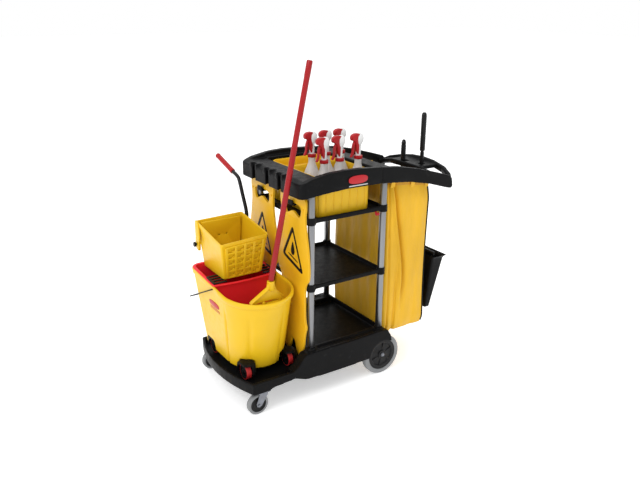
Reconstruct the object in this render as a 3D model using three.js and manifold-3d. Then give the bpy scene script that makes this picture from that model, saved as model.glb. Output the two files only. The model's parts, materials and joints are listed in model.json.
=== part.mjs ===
// A loaded janitor's cleaning cart: deck on two large wheels and two casters, four posts, two shelves,
// a top frame with a push handle, a waste bag, bins with spray bottles, folded floor signs, a mop bucket
// with a side-press wringer, a mop, a lobby dustpan and a broom.
// Millimetres, +Z up. +X is the handle end, -X the mop bucket platform, -Y the near side.
import * as THREE from 'three';
import { mergeVertices } from 'three/addons/utils/BufferGeometryUtils.js';
import Module from 'manifold-3d';

const wasm = await Module();
wasm.setup();

// ---- Driving dimensions -----------------------------------------------------------------------
const GAP = 0.3; // clearance between pieces that touch
const NEAR = -1;
const FAR = 1;
const SIDES = [['near', NEAR], ['far', FAR]];

const POST = { frontX: -186, rearX: 207, y: 228, radius: 16, bore: 14, foot: 245, top: 1015 };
const POST_SPOTS = [
  ['front_near', POST.frontX, -POST.y], ['front_far', POST.frontX, POST.y],
  ['rear_near', POST.rearX, -POST.y], ['rear_far', POST.rearX, POST.y],
];

const DECK = {
  halfWidth: 270, noseX: -561, cornerX: -507, rearX: 268, lipZ: 167, floorZ: 140,
  trayZ: 208, stepX: -203, bagEdgeX: 236,
};
const WHEEL = { x: 214, radius: 102, inner: 223, outer: 261, rim: 79, axle: 6.35, bore: 6.8, sides: 24 };
const CASTER = { x: -475, y: 239, radius: 50, width: 26, trail: 25, axle: 4, bore: 4.5, plateZ: 112.7 };

const SHELF = { front: -197, rear: 218, halfWidth: 237, band: 22, floor: 6, wall: 10, collar: 20, collarTall: 37 };
const SHELF_LEVELS = [['shelf_middle', 542], ['shelf_upper', 853]];

const FRAME = { front: -264, seam: 160, half: 273, plateZ: 1040, openFront: -150, openHalf: 213, ledgeZ: 1046 };
const HANDLE = { barX: 640, webHalf: 115, cross: 236 };

const BIN = { front: -140, rear: 156, base: 848.3, top: 1034, wall: 4, corner: 34 };
const BINS = [['bin_near', -205, 46], ['bin_far', 54, 205]];

const BOTTLE = { radius: 36.5, base: 852.6, shoulder: 140, neck: 205, collar: 236, headTop: 345 };
const BOTTLE_SPOTS = [[-75, -156], [8, -156], [109, -156], [-51, -20], [29.5, -20], [110, -20]];

const BAG = { front: 242, rear: 518, half: 210, base: 185, top: 984, wall: 3 };

const SIGN = { frontX: -218, thick: 4.8, half: 138, top: 955, holeTop: 918.3 };
const SIGNS = [['near', -125], ['far', 152]];

const BUCKET = {
  rimFront: -562, rimRear: -230, rimNear: -265, rimFar: 240, rimLow: 530, rimHigh: 570,
  baseFront: -512, baseRear: -238, baseNear: -166, baseFar: 214, baseZ: 172, wall: 5,
};
const BUCKET_CASTER = {
  radius: 38, width: 24, hood: 42, hoodWidth: 36, cheek: 32, dome: 45, pocket: 48, ceiling: 226.3, axle: 4, bore: 4.5,
  room: 1.5, // clearance round the wheel
};
const BUCKET_CASTER_SPOTS = [
  ['front_near', -487, -158], ['front_far', -492, 140], ['rear_near', -266, -150], ['rear_far', -266, 140],
];
const BAIL = { y: -4, z: 538, reachY: 262, dropZ: 405, wire: 2.5, hole: 3.2, frontX: -566.5, rearX: -224.5 };

const BASKET = {
  topFront: -525, topRear: -290, topNear: -30, baseFront: -496, baseRear: -300, baseNear: 15,
  far: 228, base: 562, top: 790, nearTop: 746, wall: 4,
};
const SHAFT = { y: 246, z: 668, radius: 6, bore: 6.4, knobX: -533, leverX: -280 };

const MOP = { y: -200, footX: -375, footZ: 606, topX: -178, topZ: 1527, radius: 12.5 };
const DUSTPAN = { x: 575, y: -64, top: 532, base: 240, gripTop: 1239, tube: 10, grip: 13 };
const BROOM = { x: 538, y: 36, gripTop: 1092, head: 330, base: 190, tube: 10, grip: 12.5 };

// ---- Looks ------------------------------------------------------------------------------------
const LOOKS = {
  black: { color: 0x17181a, roughness: 0.5, metalness: 0 },
  yellow: { color: 0xf2c714, roughness: 0.4, metalness: 0 },
  gold: { color: 0xe9ad1d, roughness: 0.85, metalness: 0 },
  red: { color: 0xc01f2c, roughness: 0.35, metalness: 0 },
  aluminium: { color: 0xb9bdc1, roughness: 0.35, metalness: 0.9 },
  steel: { color: 0xa9adb2, roughness: 0.3, metalness: 0.9 },
  tyre: { color: 0x8b8d90, roughness: 0.75, metalness: 0 },
  bottle: { color: 0xdcdcd8, roughness: 0.35, metalness: 0 },
};

// ---- Shape helpers ----------------------------------------------------------------------------
const AXIS_X = new THREE.Vector3(1, 0, 0);
const AXIS_Y = new THREE.Vector3(0, 1, 0);
const AXIS_Z = new THREE.Vector3(0, 0, 1);

// One closed surface with shared corners and its faces pointing out.
function closed(geometry) {
  const bare = geometry.clone();
  bare.deleteAttribute('normal');
  bare.deleteAttribute('uv');
  const merged = mergeVertices(bare, 1e-3);
  const position = merged.attributes.position;
  const index = merged.index.array;
  const [a, b, c] = [new THREE.Vector3(), new THREE.Vector3(), new THREE.Vector3()];
  const kept = [];
  let volume = 0;
  for (let i = 0; i < index.length; i += 3) {
    const [ia, ib, ic] = [index[i], index[i + 1], index[i + 2]];
    if (ia === ib || ib === ic || ic === ia) continue;
    kept.push(ia, ib, ic);
    a.fromBufferAttribute(position, ia);
    b.fromBufferAttribute(position, ib);
    c.fromBufferAttribute(position, ic);
    volume += a.dot(b.cross(c)) / 6;
  }
  if (volume < 0) kept.reverse();
  merged.setIndex(kept);
  return merged;
}

function toSolid(geometry) {
  const body = closed(geometry);
  return new wasm.Manifold(new wasm.Mesh({
    numProp: 3,
    vertProperties: new Float32Array(body.attributes.position.array),
    triVerts: new Uint32Array(body.index.array),
  }));
}

function toGeometry(solid) {
  const mesh = solid.getMesh();
  const geometry = new THREE.BufferGeometry();
  geometry.setAttribute('position', new THREE.BufferAttribute(mesh.vertProperties, 3));
  geometry.setIndex(new THREE.BufferAttribute(mesh.triVerts, 1));
  return geometry;
}

const join = (first, ...rest) => toGeometry(rest.reduce((sum, next) => sum.add(toSolid(next)), toSolid(first)));
const cut = (body, ...tools) => toGeometry(tools.reduce((left, tool) => left.subtract(toSolid(tool)), toSolid(body)));
const common = (first, second) => toGeometry(toSolid(first).intersect(toSolid(second)));

const block = (x0, x1, y0, y1, z0, z1) => new THREE.BoxGeometry(x1 - x0, y1 - y0, z1 - z0)
  .translate((x0 + x1) / 2, (y0 + y1) / 2, (z0 + z1) / 2);

const outline = (points) => new THREE.Shape(points.map(([a, b]) => new THREE.Vector2(a, b)));

function roundedRect(x0, x1, y0, y1, r) {
  const shape = new THREE.Shape();
  shape.moveTo(x0 + r, y0);
  shape.absarc(x1 - r, y0 + r, r, -Math.PI / 2, 0, false);
  shape.absarc(x1 - r, y1 - r, r, 0, Math.PI / 2, false);
  shape.absarc(x0 + r, y1 - r, r, Math.PI / 2, Math.PI, false);
  shape.absarc(x0 + r, y0 + r, r, Math.PI, 1.5 * Math.PI, false);
  return shape;
}

const flat = (shape, depth, curveSegments = 4) => (
  new THREE.ExtrudeGeometry(shape, { depth, bevelEnabled: false, curveSegments })
);
const slabZ = (shape, z0, z1, segments) => flat(shape, z1 - z0, segments).translate(0, 0, z0);
const slabY = (shape, y0, y1, segments) => flat(shape, y1 - y0, segments).rotateX(Math.PI / 2).translate(0, y1, 0);
const slabX = (shape, x0, x1, segments) => flat(shape, x1 - x0, segments)
  .applyMatrix4(new THREE.Matrix4().makeBasis(AXIS_Y, AXIS_Z, AXIS_X)).translate(x0, 0, 0);

// A drum's axis is X, Y or Z; it runs from one end to the other along that axis.
function drum(axis, radius, from, to, [a, b], sides = 16) {
  const geometry = new THREE.CylinderGeometry(radius, radius, to - from, sides);
  const middle = (from + to) / 2;
  if (axis === 'x') return geometry.rotateZ(Math.PI / 2).translate(middle, a, b);
  if (axis === 'y') return geometry.translate(a, middle, b);
  return geometry.rotateX(Math.PI / 2).translate(a, b, middle);
}

// A turned solid: profile points are [radius, height]; height runs along the named axis.
function turned(profile, sides, axis = 'z') {
  const geometry = new THREE.LatheGeometry(profile.map(([r, h]) => new THREE.Vector2(r, h)), sides);
  return axis === 'z' ? geometry.rotateX(Math.PI / 2) : geometry;
}

const polygon = (radius, sides) => new THREE.Shape(Array.from({ length: sides }, (_, i) => {
  const angle = (i / sides) * 2 * Math.PI;
  return new THREE.Vector2(radius * Math.cos(angle), radius * Math.sin(angle));
}));

function tube(points, radius, steps, sides = 10) {
  const extrudePath = new THREE.CatmullRomCurve3(points.map((p) => new THREE.Vector3(...p)), false, 'centripetal');
  return new THREE.ExtrudeGeometry(polygon(radius, sides), { extrudePath, steps, bevelEnabled: false });
}

function straight(from, to, radius, sides = 14) {
  const [start, end] = [new THREE.Vector3(...from), new THREE.Vector3(...to)];
  const along = end.clone().sub(start);
  const geometry = new THREE.CylinderGeometry(radius, radius, along.length(), sides);
  geometry.applyQuaternion(new THREE.Quaternion().setFromUnitVectors(AXIS_Y, along.clone().normalize()));
  const middle = start.add(end).multiplyScalar(0.5);
  return geometry.translate(middle.x, middle.y, middle.z);
}

// Skins a stack of rings that have the same number of corners and closes both ends.
function loft(rings) {
  const count = rings[0].length;
  const position = rings.flat(2);
  const index = [];
  for (let level = 0; level + 1 < rings.length; level += 1) {
    for (let i = 0; i < count; i += 1) {
      const j = (i + 1) % count;
      const [a, b] = [level * count + i, level * count + j];
      index.push(a, b, b + count, a, b + count, a + count);
    }
  }
  const contour = rings[0].map(([x, y]) => new THREE.Vector2(x, y));
  const top = (rings.length - 1) * count;
  for (const [a, b, c] of THREE.ShapeUtils.triangulateShape(contour, [])) {
    index.push(c, b, a, top + a, top + b, top + c);
  }
  const geometry = new THREE.BufferGeometry();
  geometry.setAttribute('position', new THREE.Float32BufferAttribute(position, 3));
  geometry.setIndex(index);
  return geometry;
}

const ring = (shape, z, segments = 4) => {
  const points = shape.getPoints(segments);
  if (points[0].distanceTo(points.at(-1)) < 1e-6) points.pop();
  return points.map((p) => [p.x, p.y, typeof z === 'function' ? z(p) : z]);
};

// Skins a stack of convex rings and closes both ends with a fan.
function skin(rings) {
  const count = rings[0].length;
  const index = [];
  for (let level = 0; level + 1 < rings.length; level += 1) {
    for (let i = 0; i < count; i += 1) {
      const j = (i + 1) % count;
      const [a, b] = [level * count + i, level * count + j];
      index.push(a, b, b + count, a, b + count, a + count);
    }
  }
  const last = (rings.length - 1) * count;
  for (let i = 1; i + 1 < count; i += 1) index.push(0, i + 1, i, last, last + i, last + i + 1);
  const geometry = new THREE.BufferGeometry();
  geometry.setAttribute('position', new THREE.Float32BufferAttribute(rings.flat(2), 3));
  geometry.setIndex(index);
  return geometry;
}

// A bar of rectangular section with bevelled edges that follows a path and stays upright.
function bar(path, width, height) {
  const bevel = Math.min(width, height) / 4;
  const [w, h] = [width / 2, height / 2];
  const section = [
    [-w, -h + bevel], [-w + bevel, -h], [w - bevel, -h], [w, -h + bevel],
    [w, h - bevel], [w - bevel, h], [-w + bevel, h], [-w, h - bevel],
  ];
  const points = path.map((p) => new THREE.Vector3(...p));
  const rings = points.map((point, i) => {
    const ahead = points[Math.min(i + 1, points.length - 1)].clone().sub(points[Math.max(i - 1, 0)]);
    const across = new THREE.Vector3(ahead.y, -ahead.x, 0).normalize();
    return section.map(([side, up]) => [point.x + across.x * side, point.y + across.y * side, point.z + up]);
  });
  return skin(rings);
}

// A round wire with mitred corners along points that lie in the plane with this normal.
function wireAlong(points, normal, radius, sides = 6) {
  const rings = points.map((point, i) => {
    const arrive = point.clone().sub(points[Math.max(i - 1, 0)]).normalize();
    const leave = points[Math.min(i + 1, points.length - 1)].clone().sub(point).normalize();
    const along = arrive.clone().add(leave).normalize();
    const mitre = i > 0 && i + 1 < points.length ? along.dot(arrive) : 1;
    const across = new THREE.Vector3().crossVectors(normal, along).multiplyScalar(radius / mitre);
    return polygon(1, sides).getPoints().slice(0, sides).map(({ x, y }) => point.clone()
      .addScaledVector(across, x).addScaledVector(normal, radius * y).toArray());
  });
  return skin(rings);
}

const mirrored = (make) => [make(NEAR), make(FAR)];
const span = (side, inner, outer) => (side === FAR ? [inner, outer] : [-outer, -inner]);

// ---- The assembly -----------------------------------------------------------------------------
const cart = new THREE.Group();

function add(name, geometry, look, parent = cart, place = [0, 0, 0]) {
  const body = closed(geometry);
  body.computeVertexNormals();
  const mesh = new THREE.Mesh(body, new THREE.MeshStandardMaterial(LOOKS[look]));
  mesh.name = name;
  mesh.position.set(...place);
  parent.add(mesh);
  return mesh;
}

function group(x, y, z, parent = cart) {
  const made = new THREE.Group();
  made.position.set(x, y, z);
  parent.add(made);
  return made;
}

// ---- Deck -------------------------------------------------------------------------------------
function bowedPlan(nose, cornerX, half, rear) {
  const shape = new THREE.Shape();
  shape.moveTo(rear, -half);
  shape.lineTo(rear, half);
  shape.lineTo(cornerX, half);
  shape.quadraticCurveTo(2 * nose - cornerX, 0, cornerX, -half);
  return shape;
}

function deck() {
  const profile = outline([
    [-580, 113], [-425, 113], [-408, 122], [-292, 131], [-235, 109], [-161, 105], [-49, 103], [98, 106],
    [266, 112], [DECK.rearX, 154], [258, 200], [238, 234], [207, 240], [60, 235], [-100, 236], [-231, 234],
    [-250, 218], [-272, 186], [-300, DECK.lipZ], [-580, DECK.lipZ],
  ]);
  const plan = bowedPlan(DECK.noseX, DECK.cornerX, DECK.halfWidth, DECK.rearX);
  const outer = common(slabY(profile, -280, 280), slabZ(plan, 90, 260, 12));
  const platform = join(
    slabZ(bowedPlan(-555, -500, 250, -305), DECK.floorZ, 300, 10),
    block(-306, DECK.stepX, -216, 243, DECK.floorZ, 300),
  );
  const hollowTop = { platform: DECK.floorZ - 9, tray: DECK.trayZ - 9 };
  const under = [
    block(-490, -300, -196, 196, 80, hollowTop.platform),
    block(-410, -220, -258, 258, 80, hollowTop.platform),
    block(-190, 168, -260, 260, 80, hollowTop.tray),
    block(180, 228, -194, 194, 80, hollowTop.tray),
    ...mirrored((side) => block(-222, 168, ...span(side, 210, 260), 190, 226)),
  ];
  const wheelRoom = mirrored((side) => drum('y', 108, ...span(side, 216, 264), [WHEEL.x, WHEEL.radius], 24));
  const arches = mirrored((side) => join(
    drum('y', 80, ...span(side, 262, 275), [WHEEL.x, WHEEL.radius], 24),
    block(WHEEL.x, 300, ...span(side, 262, 275), 80, 168),
  ));
  const body = cut(
    outer,
    platform,
    block(-192, 226, -204, 204, DECK.trayZ, 300),
    block(DECK.bagEdgeX, 300, -214, 214, 80, 300),
    ...under, ...wheelRoom, ...arches,
  );
  const sockets = POST_SPOTS.map(([, x, y]) => drum('z', 21, 228, POST.foot, [x, y], 12));
  const brackets = mirrored((side) => block(194, 234, ...span(side, 197, 214), 84, 130));
  const axleHole = drum('y', WHEEL.bore, -280, 280, [WHEEL.x, WHEEL.radius]);
  return cut(join(body, ...sockets, ...brackets), axleHole);
}

// ---- Wheels and casters -----------------------------------------------------------------------
function rearWheels() {
  const middle = (WHEEL.inner + WHEEL.outer) / 2;
  const half = (WHEEL.outer - WHEEL.inner) / 2;
  const tyre = [
    [WHEEL.rim + GAP, -half + 1], [WHEEL.radius - 8, -half + 1], [WHEEL.radius, -half + 8], [WHEEL.radius, half - 8],
    [WHEEL.radius - 8, half - 1], [WHEEL.rim + GAP, half - 1], [WHEEL.rim + GAP, -half + 1],
  ];
  const hub = [
    [WHEEL.bore, -half], [22, -half], [62, -9], [WHEEL.rim, -half + 5], [WHEEL.rim, half - 5], [62, 9], [22, half],
    [WHEEL.bore, half], [WHEEL.bore, -half],
  ];
  for (const [name, side] of SIDES) {
    const place = group(WHEEL.x, side * middle, WHEEL.radius);
    add(`rear_tyre_${name}`, turned(tyre, WHEEL.sides, 'y'), 'tyre', place);
    add(`rear_hub_${name}`, turned(hub, WHEEL.sides, 'y'), 'black', place);
  }
  const end = WHEEL.outer + GAP;
  const axle = [[0, -end - 4], [10, -end - 4], [10, -end], [WHEEL.axle, -end], [WHEEL.axle, end], [10, end],
    [10, end + 4], [0, end + 4]];
  add('rear_axle', turned(axle, 12, 'y'), 'steel', cart, [WHEEL.x, 0, WHEEL.radius]);
}

function frontCasters() {
  const stemX = CASTER.x + CASTER.trail;
  const top = CASTER.plateZ;
  const half = CASTER.width / 2;
  for (const [name, side] of SIDES) {
    const place = group(stemX, side * CASTER.y, 0);
    const plate = join(
      block(-30, 30, -28, 28, top - 3, top),
      drum('z', 22, top - 7, top - 2, [0, 0], 12),
      drum('z', 5, 96, top - 2, [0, 0], 8),
    );
    add(`caster_plate_${name}`, plate, 'steel', place);
    const leg = outline([[-22, 104], [22, 104], [18, 92], [-12, 44], [-25, 38], [-36, 44], [-38, 56], [-26, 90]]);
    const fork = join(
      drum('z', 22, 100, 105, [0, 0], 12),
      slabY(leg, half + 3, half + 6),
      slabY(leg, -half - 6, -half - 3),
      block(-22, 20, -half - 6, half + 6, 101, 104),
      drum('y', CASTER.axle, -half - 10, half + 10, [-CASTER.trail, CASTER.radius], 8),
    );
    add(`caster_fork_${name}`, cut(fork, drum('z', 5.5, 90, 120, [0, 0], 8)), 'steel', place);
    const wheel = [
      [CASTER.bore, -half - 1], [34, -half + 2], [44, -half], [CASTER.radius, -half + 4], [CASTER.radius, half - 4],
      [44, half], [34, half - 2], [CASTER.bore, half + 1], [CASTER.bore, -half - 1],
    ];
    add(`caster_wheel_${name}`, turned(wheel, 16, 'y'), 'tyre', place, [-CASTER.trail, 0, CASTER.radius]);
  }
}

// ---- Posts and shelves ------------------------------------------------------------------------
function posts() {
  const section = polygon(POST.radius, 12);
  section.holes.push(new THREE.Path(polygon(POST.bore, 12).getPoints().reverse()));
  for (const [name, x, y] of POST_SPOTS) {
    add(`post_${name}`, slabZ(section, 0, POST.top - POST.foot - GAP), 'aluminium', cart, [x, y, POST.foot + GAP]);
  }
}

function shelf(level) {
  const [bottom, top] = [level - SHELF.band / 2, level + SHELF.band / 2];
  const w = SHELF.wall;
  const plate = slabZ(roundedRect(SHELF.front, SHELF.rear, -SHELF.halfWidth, SHELF.halfWidth, 14), bottom, top, 2);
  const tray = slabZ(
    roundedRect(SHELF.front + w, SHELF.rear - w, -SHELF.halfWidth + w, SHELF.halfWidth - w, 12),
    bottom + SHELF.floor, top + 10, 2,
  );
  const half = SHELF.collarTall / 2;
  const collars = POST_SPOTS.map(([, x, y]) => drum('z', SHELF.collar, level - half, level + half, [x, y], 12));
  const bores = POST_SPOTS.map(([, x, y]) => drum('z', POST.radius + GAP, level - 40, level + 40, [x, y], 12));
  return cut(join(cut(plate, tray), ...collars), ...bores);
}

// ---- Top frame and push handle ----------------------------------------------------------------
function signHook(y) {
  return join(
    block(-204, -199, y - 22, y + 22, 908, 1034),
    block(-233, -199, y - 22, y + 22, 908, 918),
    block(-233, -226, y - 22, y + 22, 908, 934),
  );
}

function topFrame() {
  const profile = outline([
    [-300, 962], [-264, 966], [-140, 978], [-23, 985], [89, 984], [FRAME.seam, 983], [FRAME.seam, 1058],
    [49, 1066], [-40, 1069], [-125, 1065], [-210, 1050], [-264, 1030], [-300, 1012],
  ]);
  const plan = roundedRect(FRAME.front, FRAME.seam + 80, -FRAME.half, FRAME.half, 26);
  const outer = common(slabY(profile, -280, 280), slabZ(plan, 900, 1100, 4));
  const notches = [146, 21, -88].map((y) => join(
    drum('z', 17, 900, 1100, [FRAME.front + 16, y], 10),
    block(FRAME.front - 10, FRAME.front + 16, y - 13, y + 13, 900, 1100),
  ));
  const body = cut(
    outer,
    block(-300, FRAME.openFront + 1, -240, 240, FRAME.plateZ, 1100),
    block(FRAME.openFront, FRAME.seam + 10, -FRAME.openHalf, FRAME.openHalf, 900, 1100),
    ...mirrored((side) => block(FRAME.openFront, FRAME.seam + 10, ...span(side, 200, 246), FRAME.ledgeZ, 1100)),
    block(-228, -162, -262, 262, 900, 1030),
    ...mirrored((side) => block(-170, 148, ...span(side, 221, 263), 900, 1036)),
    ...notches,
  );
  const frontPosts = POST_SPOTS.filter(([, x]) => x < 0);
  const sockets = frontPosts.map(([, x, y]) => drum('z', 22, 978, 1034, [x, y], 12));
  const bores = frontPosts.map(([, x, y]) => drum('z', POST.radius + GAP, 900, POST.top + GAP, [x, y], 12));
  return cut(join(body, ...sockets, ...SIGNS.map(([, y]) => signHook(y))), ...bores);
}

function rearHandle() {
  const seam = FRAME.seam + GAP;
  const arm = outline([
    [seam, 983], [323, 968], [448, 942], [560, 908], [588, 902], [596, 915], [590, 950], [579, 965],
    [507, 987], [380, 1023], [259, 1048], [seam, 1058],
  ]);
  const arms = mirrored((side) => slabY(arm, ...span(side, 248, FRAME.half)));
  const cross = cut(block(seam, HANDLE.cross, -262, 262, 984, 1046), block(168, 229, -203, 203, 900, 1038));
  const pushBar = bar([
    [580, -262, 930], [606, -228, 950], [630, -165, 966], [HANDLE.barX - 2, -80, 980], [HANDLE.barX, 0, 984],
    [HANDLE.barX - 2, 80, 980], [630, 165, 966], [606, 228, 950], [580, 262, 930],
  ], 24, 34);
  const innerBar = bar([
    [566, -262, 926], [548, -190, 952], [526, -118, 970], [518, -60, 974], [518, 60, 974], [526, 118, 970],
    [548, 190, 952], [566, 262, 926],
  ], 14, 28);
  const web = cut(
    block(515, 634, -HANDLE.webHalf, HANDLE.webHalf, 966, 984),
    drum('z', 18, 900, 1100, [DUSTPAN.x, DUSTPAN.y], 12),
    drum('z', 17, 900, 1100, [BROOM.x + 10, BROOM.y], 10),
    block(BROOM.x, BROOM.x + 30, BROOM.y - 17, BROOM.y + 17, 900, 1100),
  );
  const rearPosts = POST_SPOTS.filter(([, x]) => x > 0);
  const sockets = rearPosts.map(([, x, y]) => drum('z', 22, 978, 1040, [x, y], 12));
  const bores = rearPosts.map(([, x, y]) => drum('z', POST.radius + GAP, 900, POST.top + GAP, [x, y], 12));
  const broomRoom = drum('z', 15, 900, 1100, [BROOM.x, BROOM.y], 12);
  return cut(join(cross, ...arms, pushBar, innerBar, web, ...sockets), ...bores, broomRoom);
}

// ---- Bins, bottles and bag --------------------------------------------------------------------
function bin(y0, y1) {
  const { front, rear, base, top, wall, corner } = BIN;
  const level = (inset, z, r = corner) => ring(roundedRect(front + inset, rear - inset, y0 + inset, y1 - inset, r), z, 3);
  const outer = loft([level(5, base), level(3, top - 12), level(0, top - 12), level(0, top)]);
  const inner = loft([level(5 + wall, base + wall), level(3 + wall, top + 5)]);
  return cut(outer, inner);
}

function sprayBottles(binBase) {
  const { radius, shoulder, neck, collar, headTop } = BOTTLE;
  const body = [
    [0, 0], [radius, 0], [radius, shoulder], [radius - 8, shoulder + 30], [16, neck], [16, collar - 5],
    [19, collar - 5], [19, collar + 10], [0, collar + 10],
  ];
  const headShape = outline([
    [-12, collar + 8], [13, collar + 8], [13, headTop - 48], [24, headTop - 36], [25, headTop - 16], [14, headTop - 3],
    [-6, headTop], [-34, headTop - 6], [-42, headTop - 12], [-42, headTop - 26], [-30, headTop - 32], [-12, headTop - 34],
  ]);
  const triggerShape = outline([
    [-15, headTop - 36], [-24, headTop - 35], [-34, headTop - 62], [-32, headTop - 84], [-43, headTop - 104],
    [-38, headTop - 107], [-25, headTop - 86], [-26, headTop - 62],
  ]);
  BOTTLE_SPOTS.forEach(([x, y], i) => {
    const place = group(x, y, binBase);
    const bottle = join(turned(body, 12), slabY(headShape, -12, 12));
    add(`spray_bottle_${i + 1}`, bottle, 'bottle', place);
    add(`trigger_${i + 1}`, slabY(triggerShape, -7, 7), 'red', place);
  });
}

function bag() {
  const { front, rear, half, base, top, wall } = BAG;
  const level = (inset, z, slope = 0) => ring(
    roundedRect(front + inset, rear - inset, -half + inset, half - inset, 26),
    (p) => z - slope * (p.x - front), 2,
  );
  const lean = 0.13; // the mouth follows the handle's fall towards the rear
  const outer = loft([level(10, base), level(0, base + 60), level(0, 860), level(16, top, lean)]);
  const inner = loft([level(10 + wall, base + wall), level(wall, base + 62), level(wall, 862), level(16 + wall, top + 5, lean)]);
  return cut(outer, inner);
}

// ---- Floor signs ------------------------------------------------------------------------------
function signPanel() {
  const right = [
    [44, 158], [88, 225], [98, 312], [115, 352], [98, 378], [98, 523], [106, 562], [SIGN.half, 592],
    [126, 720], [108, 800], [98, 870], [107, 920], [104, SIGN.top - 8], [94, SIGN.top],
  ];
  const left = right.map(([y, z]) => [-y, z]).reverse();
  const shape = outline([[0, 290], ...right, ...left]);
  shape.holes.push(new THREE.Path([
    [-62, SIGN.holeTop], [-70, 890], [-58, 858], [-36, 866], [0, 884], [36, 866], [58, 858], [70, 890],
    [62, SIGN.holeTop],
  ].map(([y, z]) => new THREE.Vector2(y, z))));
  return slabX(shape, 0, SIGN.thick);
}

function signs() {
  for (const [name, y] of SIGNS) {
    add(`sign_${name}_front`, signPanel(), 'yellow', cart, [SIGN.frontX, y, 0]);
    add(`sign_${name}_back`, signPanel(), 'yellow', cart, [SIGN.frontX + SIGN.thick + 1, y, 0]);
  }
}

// ---- Mop bucket -------------------------------------------------------------------------------
// Plan of the bucket at a height: 0 at the base, 1 at the rim. The near end is round, the far end square.
function bucketPlan(t, inset = 0) {
  const mix = (a, b) => a + (b - a) * t;
  const front = mix(BUCKET.baseFront, BUCKET.rimFront) + inset;
  const rear = mix(BUCKET.baseRear, BUCKET.rimRear) - inset;
  const near = mix(BUCKET.baseNear, BUCKET.rimNear) + inset;
  const far = mix(BUCKET.baseFar, BUCKET.rimFar) - inset;
  const round = (rear - front) / 2;
  const r = 36;
  const shape = new THREE.Shape();
  shape.moveTo(rear, near + round);
  shape.absarc(rear - r, far - r, r, 0, Math.PI / 2, false);
  shape.absarc(front + r, far - r, r, Math.PI / 2, Math.PI, false);
  shape.absarc(front + round, near + round, round, Math.PI, 2 * Math.PI, false);
  return shape;
}

function bucketLevel(t, inset, lift = 0) {
  const height = (p) => {
    const along = (p.y - BUCKET.rimNear) / (BUCKET.rimFar - BUCKET.rimNear);
    const rim = BUCKET.rimLow + (BUCKET.rimHigh - BUCKET.rimLow) * along;
    return BUCKET.baseZ + (rim - BUCKET.baseZ) * t + lift;
  };
  const points = bucketPlan(t, inset).getPoints(6);
  if (points[0].distanceTo(points.at(-1)) < 1e-6) points.pop();
  return points.map((p) => [p.x, p.y, height(p)]);
}

function bucketBody() {
  const { wall } = BUCKET;
  const spots = BUCKET_CASTER_SPOTS.map(([, x, y]) => [x, y]);
  const outer = loft([bucketLevel(0, 0), bucketLevel(0.96, 3), bucketLevel(0.96, 0), bucketLevel(1, 0)]);
  const pockets = spots.map((at) => drum('z', BUCKET_CASTER.pocket, 100, BUCKET_CASTER.ceiling, at, 14));
  const lugs = spots.map((at) => drum('z', 22, BUCKET_CASTER.ceiling, BUCKET_CASTER.ceiling + 10, at, 12));
  const keep = spots.map((at) => drum('z', BUCKET_CASTER.pocket + wall, 100, BUCKET_CASTER.ceiling + wall, at, 14));
  const cavity = cut(loft([bucketLevel(0, wall, wall), bucketLevel(1, wall + 1, 6)]), ...keep);
  const bailHoles = drum('x', BAIL.hole, -600, -200, [BAIL.y, BAIL.z], 8);
  return cut(join(cut(outer, ...pockets), ...lugs), cavity, bailHoles);
}

function bucketInsert() {
  const plan = (front, rear, near, far) => {
    const shape = new THREE.Shape();
    shape.moveTo(rear, near + 12);
    shape.absarc(rear - 30, far - 30, 30, 0, Math.PI / 2, false);
    shape.absarc(front + 30, far - 30, 30, Math.PI / 2, Math.PI, false);
    shape.lineTo(front, near + 12);
    shape.quadraticCurveTo((front + rear) / 2, near - 14, rear, near + 12);
    return shape;
  };
  const outer = loft([ring(plan(-508, -248, 8, 204), 246, 5), ring(plan(-551, -241, -18, 229), 556, 5)]);
  const inner = loft([ring(plan(-504, -252, 12, 200), 250, 5), ring(plan(-548, -244, -15, 226), 562, 5)]);
  return cut(outer, inner);
}

function bailWire() {
  const { y, z, reachY, dropZ, wire, frontX, rearX } = BAIL;
  const turn = 3.5; // cut back at the two upper corners
  const bend = 12; // cut back at the two lower corners
  const tip = 16; // each end turns in through the bucket wall
  const hinge = new THREE.Vector3(0, y, z);
  const down = new THREE.Vector3(0, reachY - y, dropZ - z);
  const length = down.length();
  down.normalize();
  const spot = (x, distance) => hinge.clone().addScaledVector(down, distance).setX(x);
  const points = [
    spot(frontX + tip, 0), spot(frontX + turn, 0), spot(frontX, turn), spot(frontX, length - bend),
    spot(frontX + bend, length), spot(rearX - bend, length), spot(rearX, length - bend), spot(rearX, turn),
    spot(rearX - turn, 0), spot(rearX - tip, 0),
  ];
  return wireAlong(points, new THREE.Vector3().crossVectors(AXIS_X, down), wire);
}

function bucketCasters() {
  const { radius, width, hood, hoodWidth, cheek, dome, ceiling, axle, bore, room } = BUCKET_CASTER;
  const [half, halfHood] = [width / 2, hoodWidth / 2];
  const centreZ = DECK.floorZ + GAP + radius;
  const top = ceiling - GAP - centreZ;
  for (const [name, x, y] of BUCKET_CASTER_SPOTS) {
    const place = group(x, y, centreZ);
    const fender = cut(
      join(drum('x', hood, -halfHood, halfHood, [0, 0], 16), drum('z', dome, 18, top, [0, 0], 16)),
      drum('x', radius + room, -half - room, half + room, [0, 0], 16),
      block(-60, 60, -60, 60, -60, 10),
    );
    const cheeks = [[-halfHood, -half - room], [half + room, halfHood]].map(([a, b]) => drum('x', cheek, a, b, [0, 0], 16));
    const pin = drum('x', axle, -halfHood, halfHood, [0, 0], 8);
    add(`bucket_hood_${name}`, join(fender, ...cheeks, pin), 'black', place);
    const wheel = [
      [bore, -half], [radius - 3, -half], [radius, -half + 4], [radius, half - 4], [radius - 3, half], [bore, half],
      [bore, -half],
    ];
    add(`bucket_wheel_${name}`, turned(wheel, 16, 'y').rotateZ(Math.PI / 2), 'red', place);
  }
}

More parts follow.
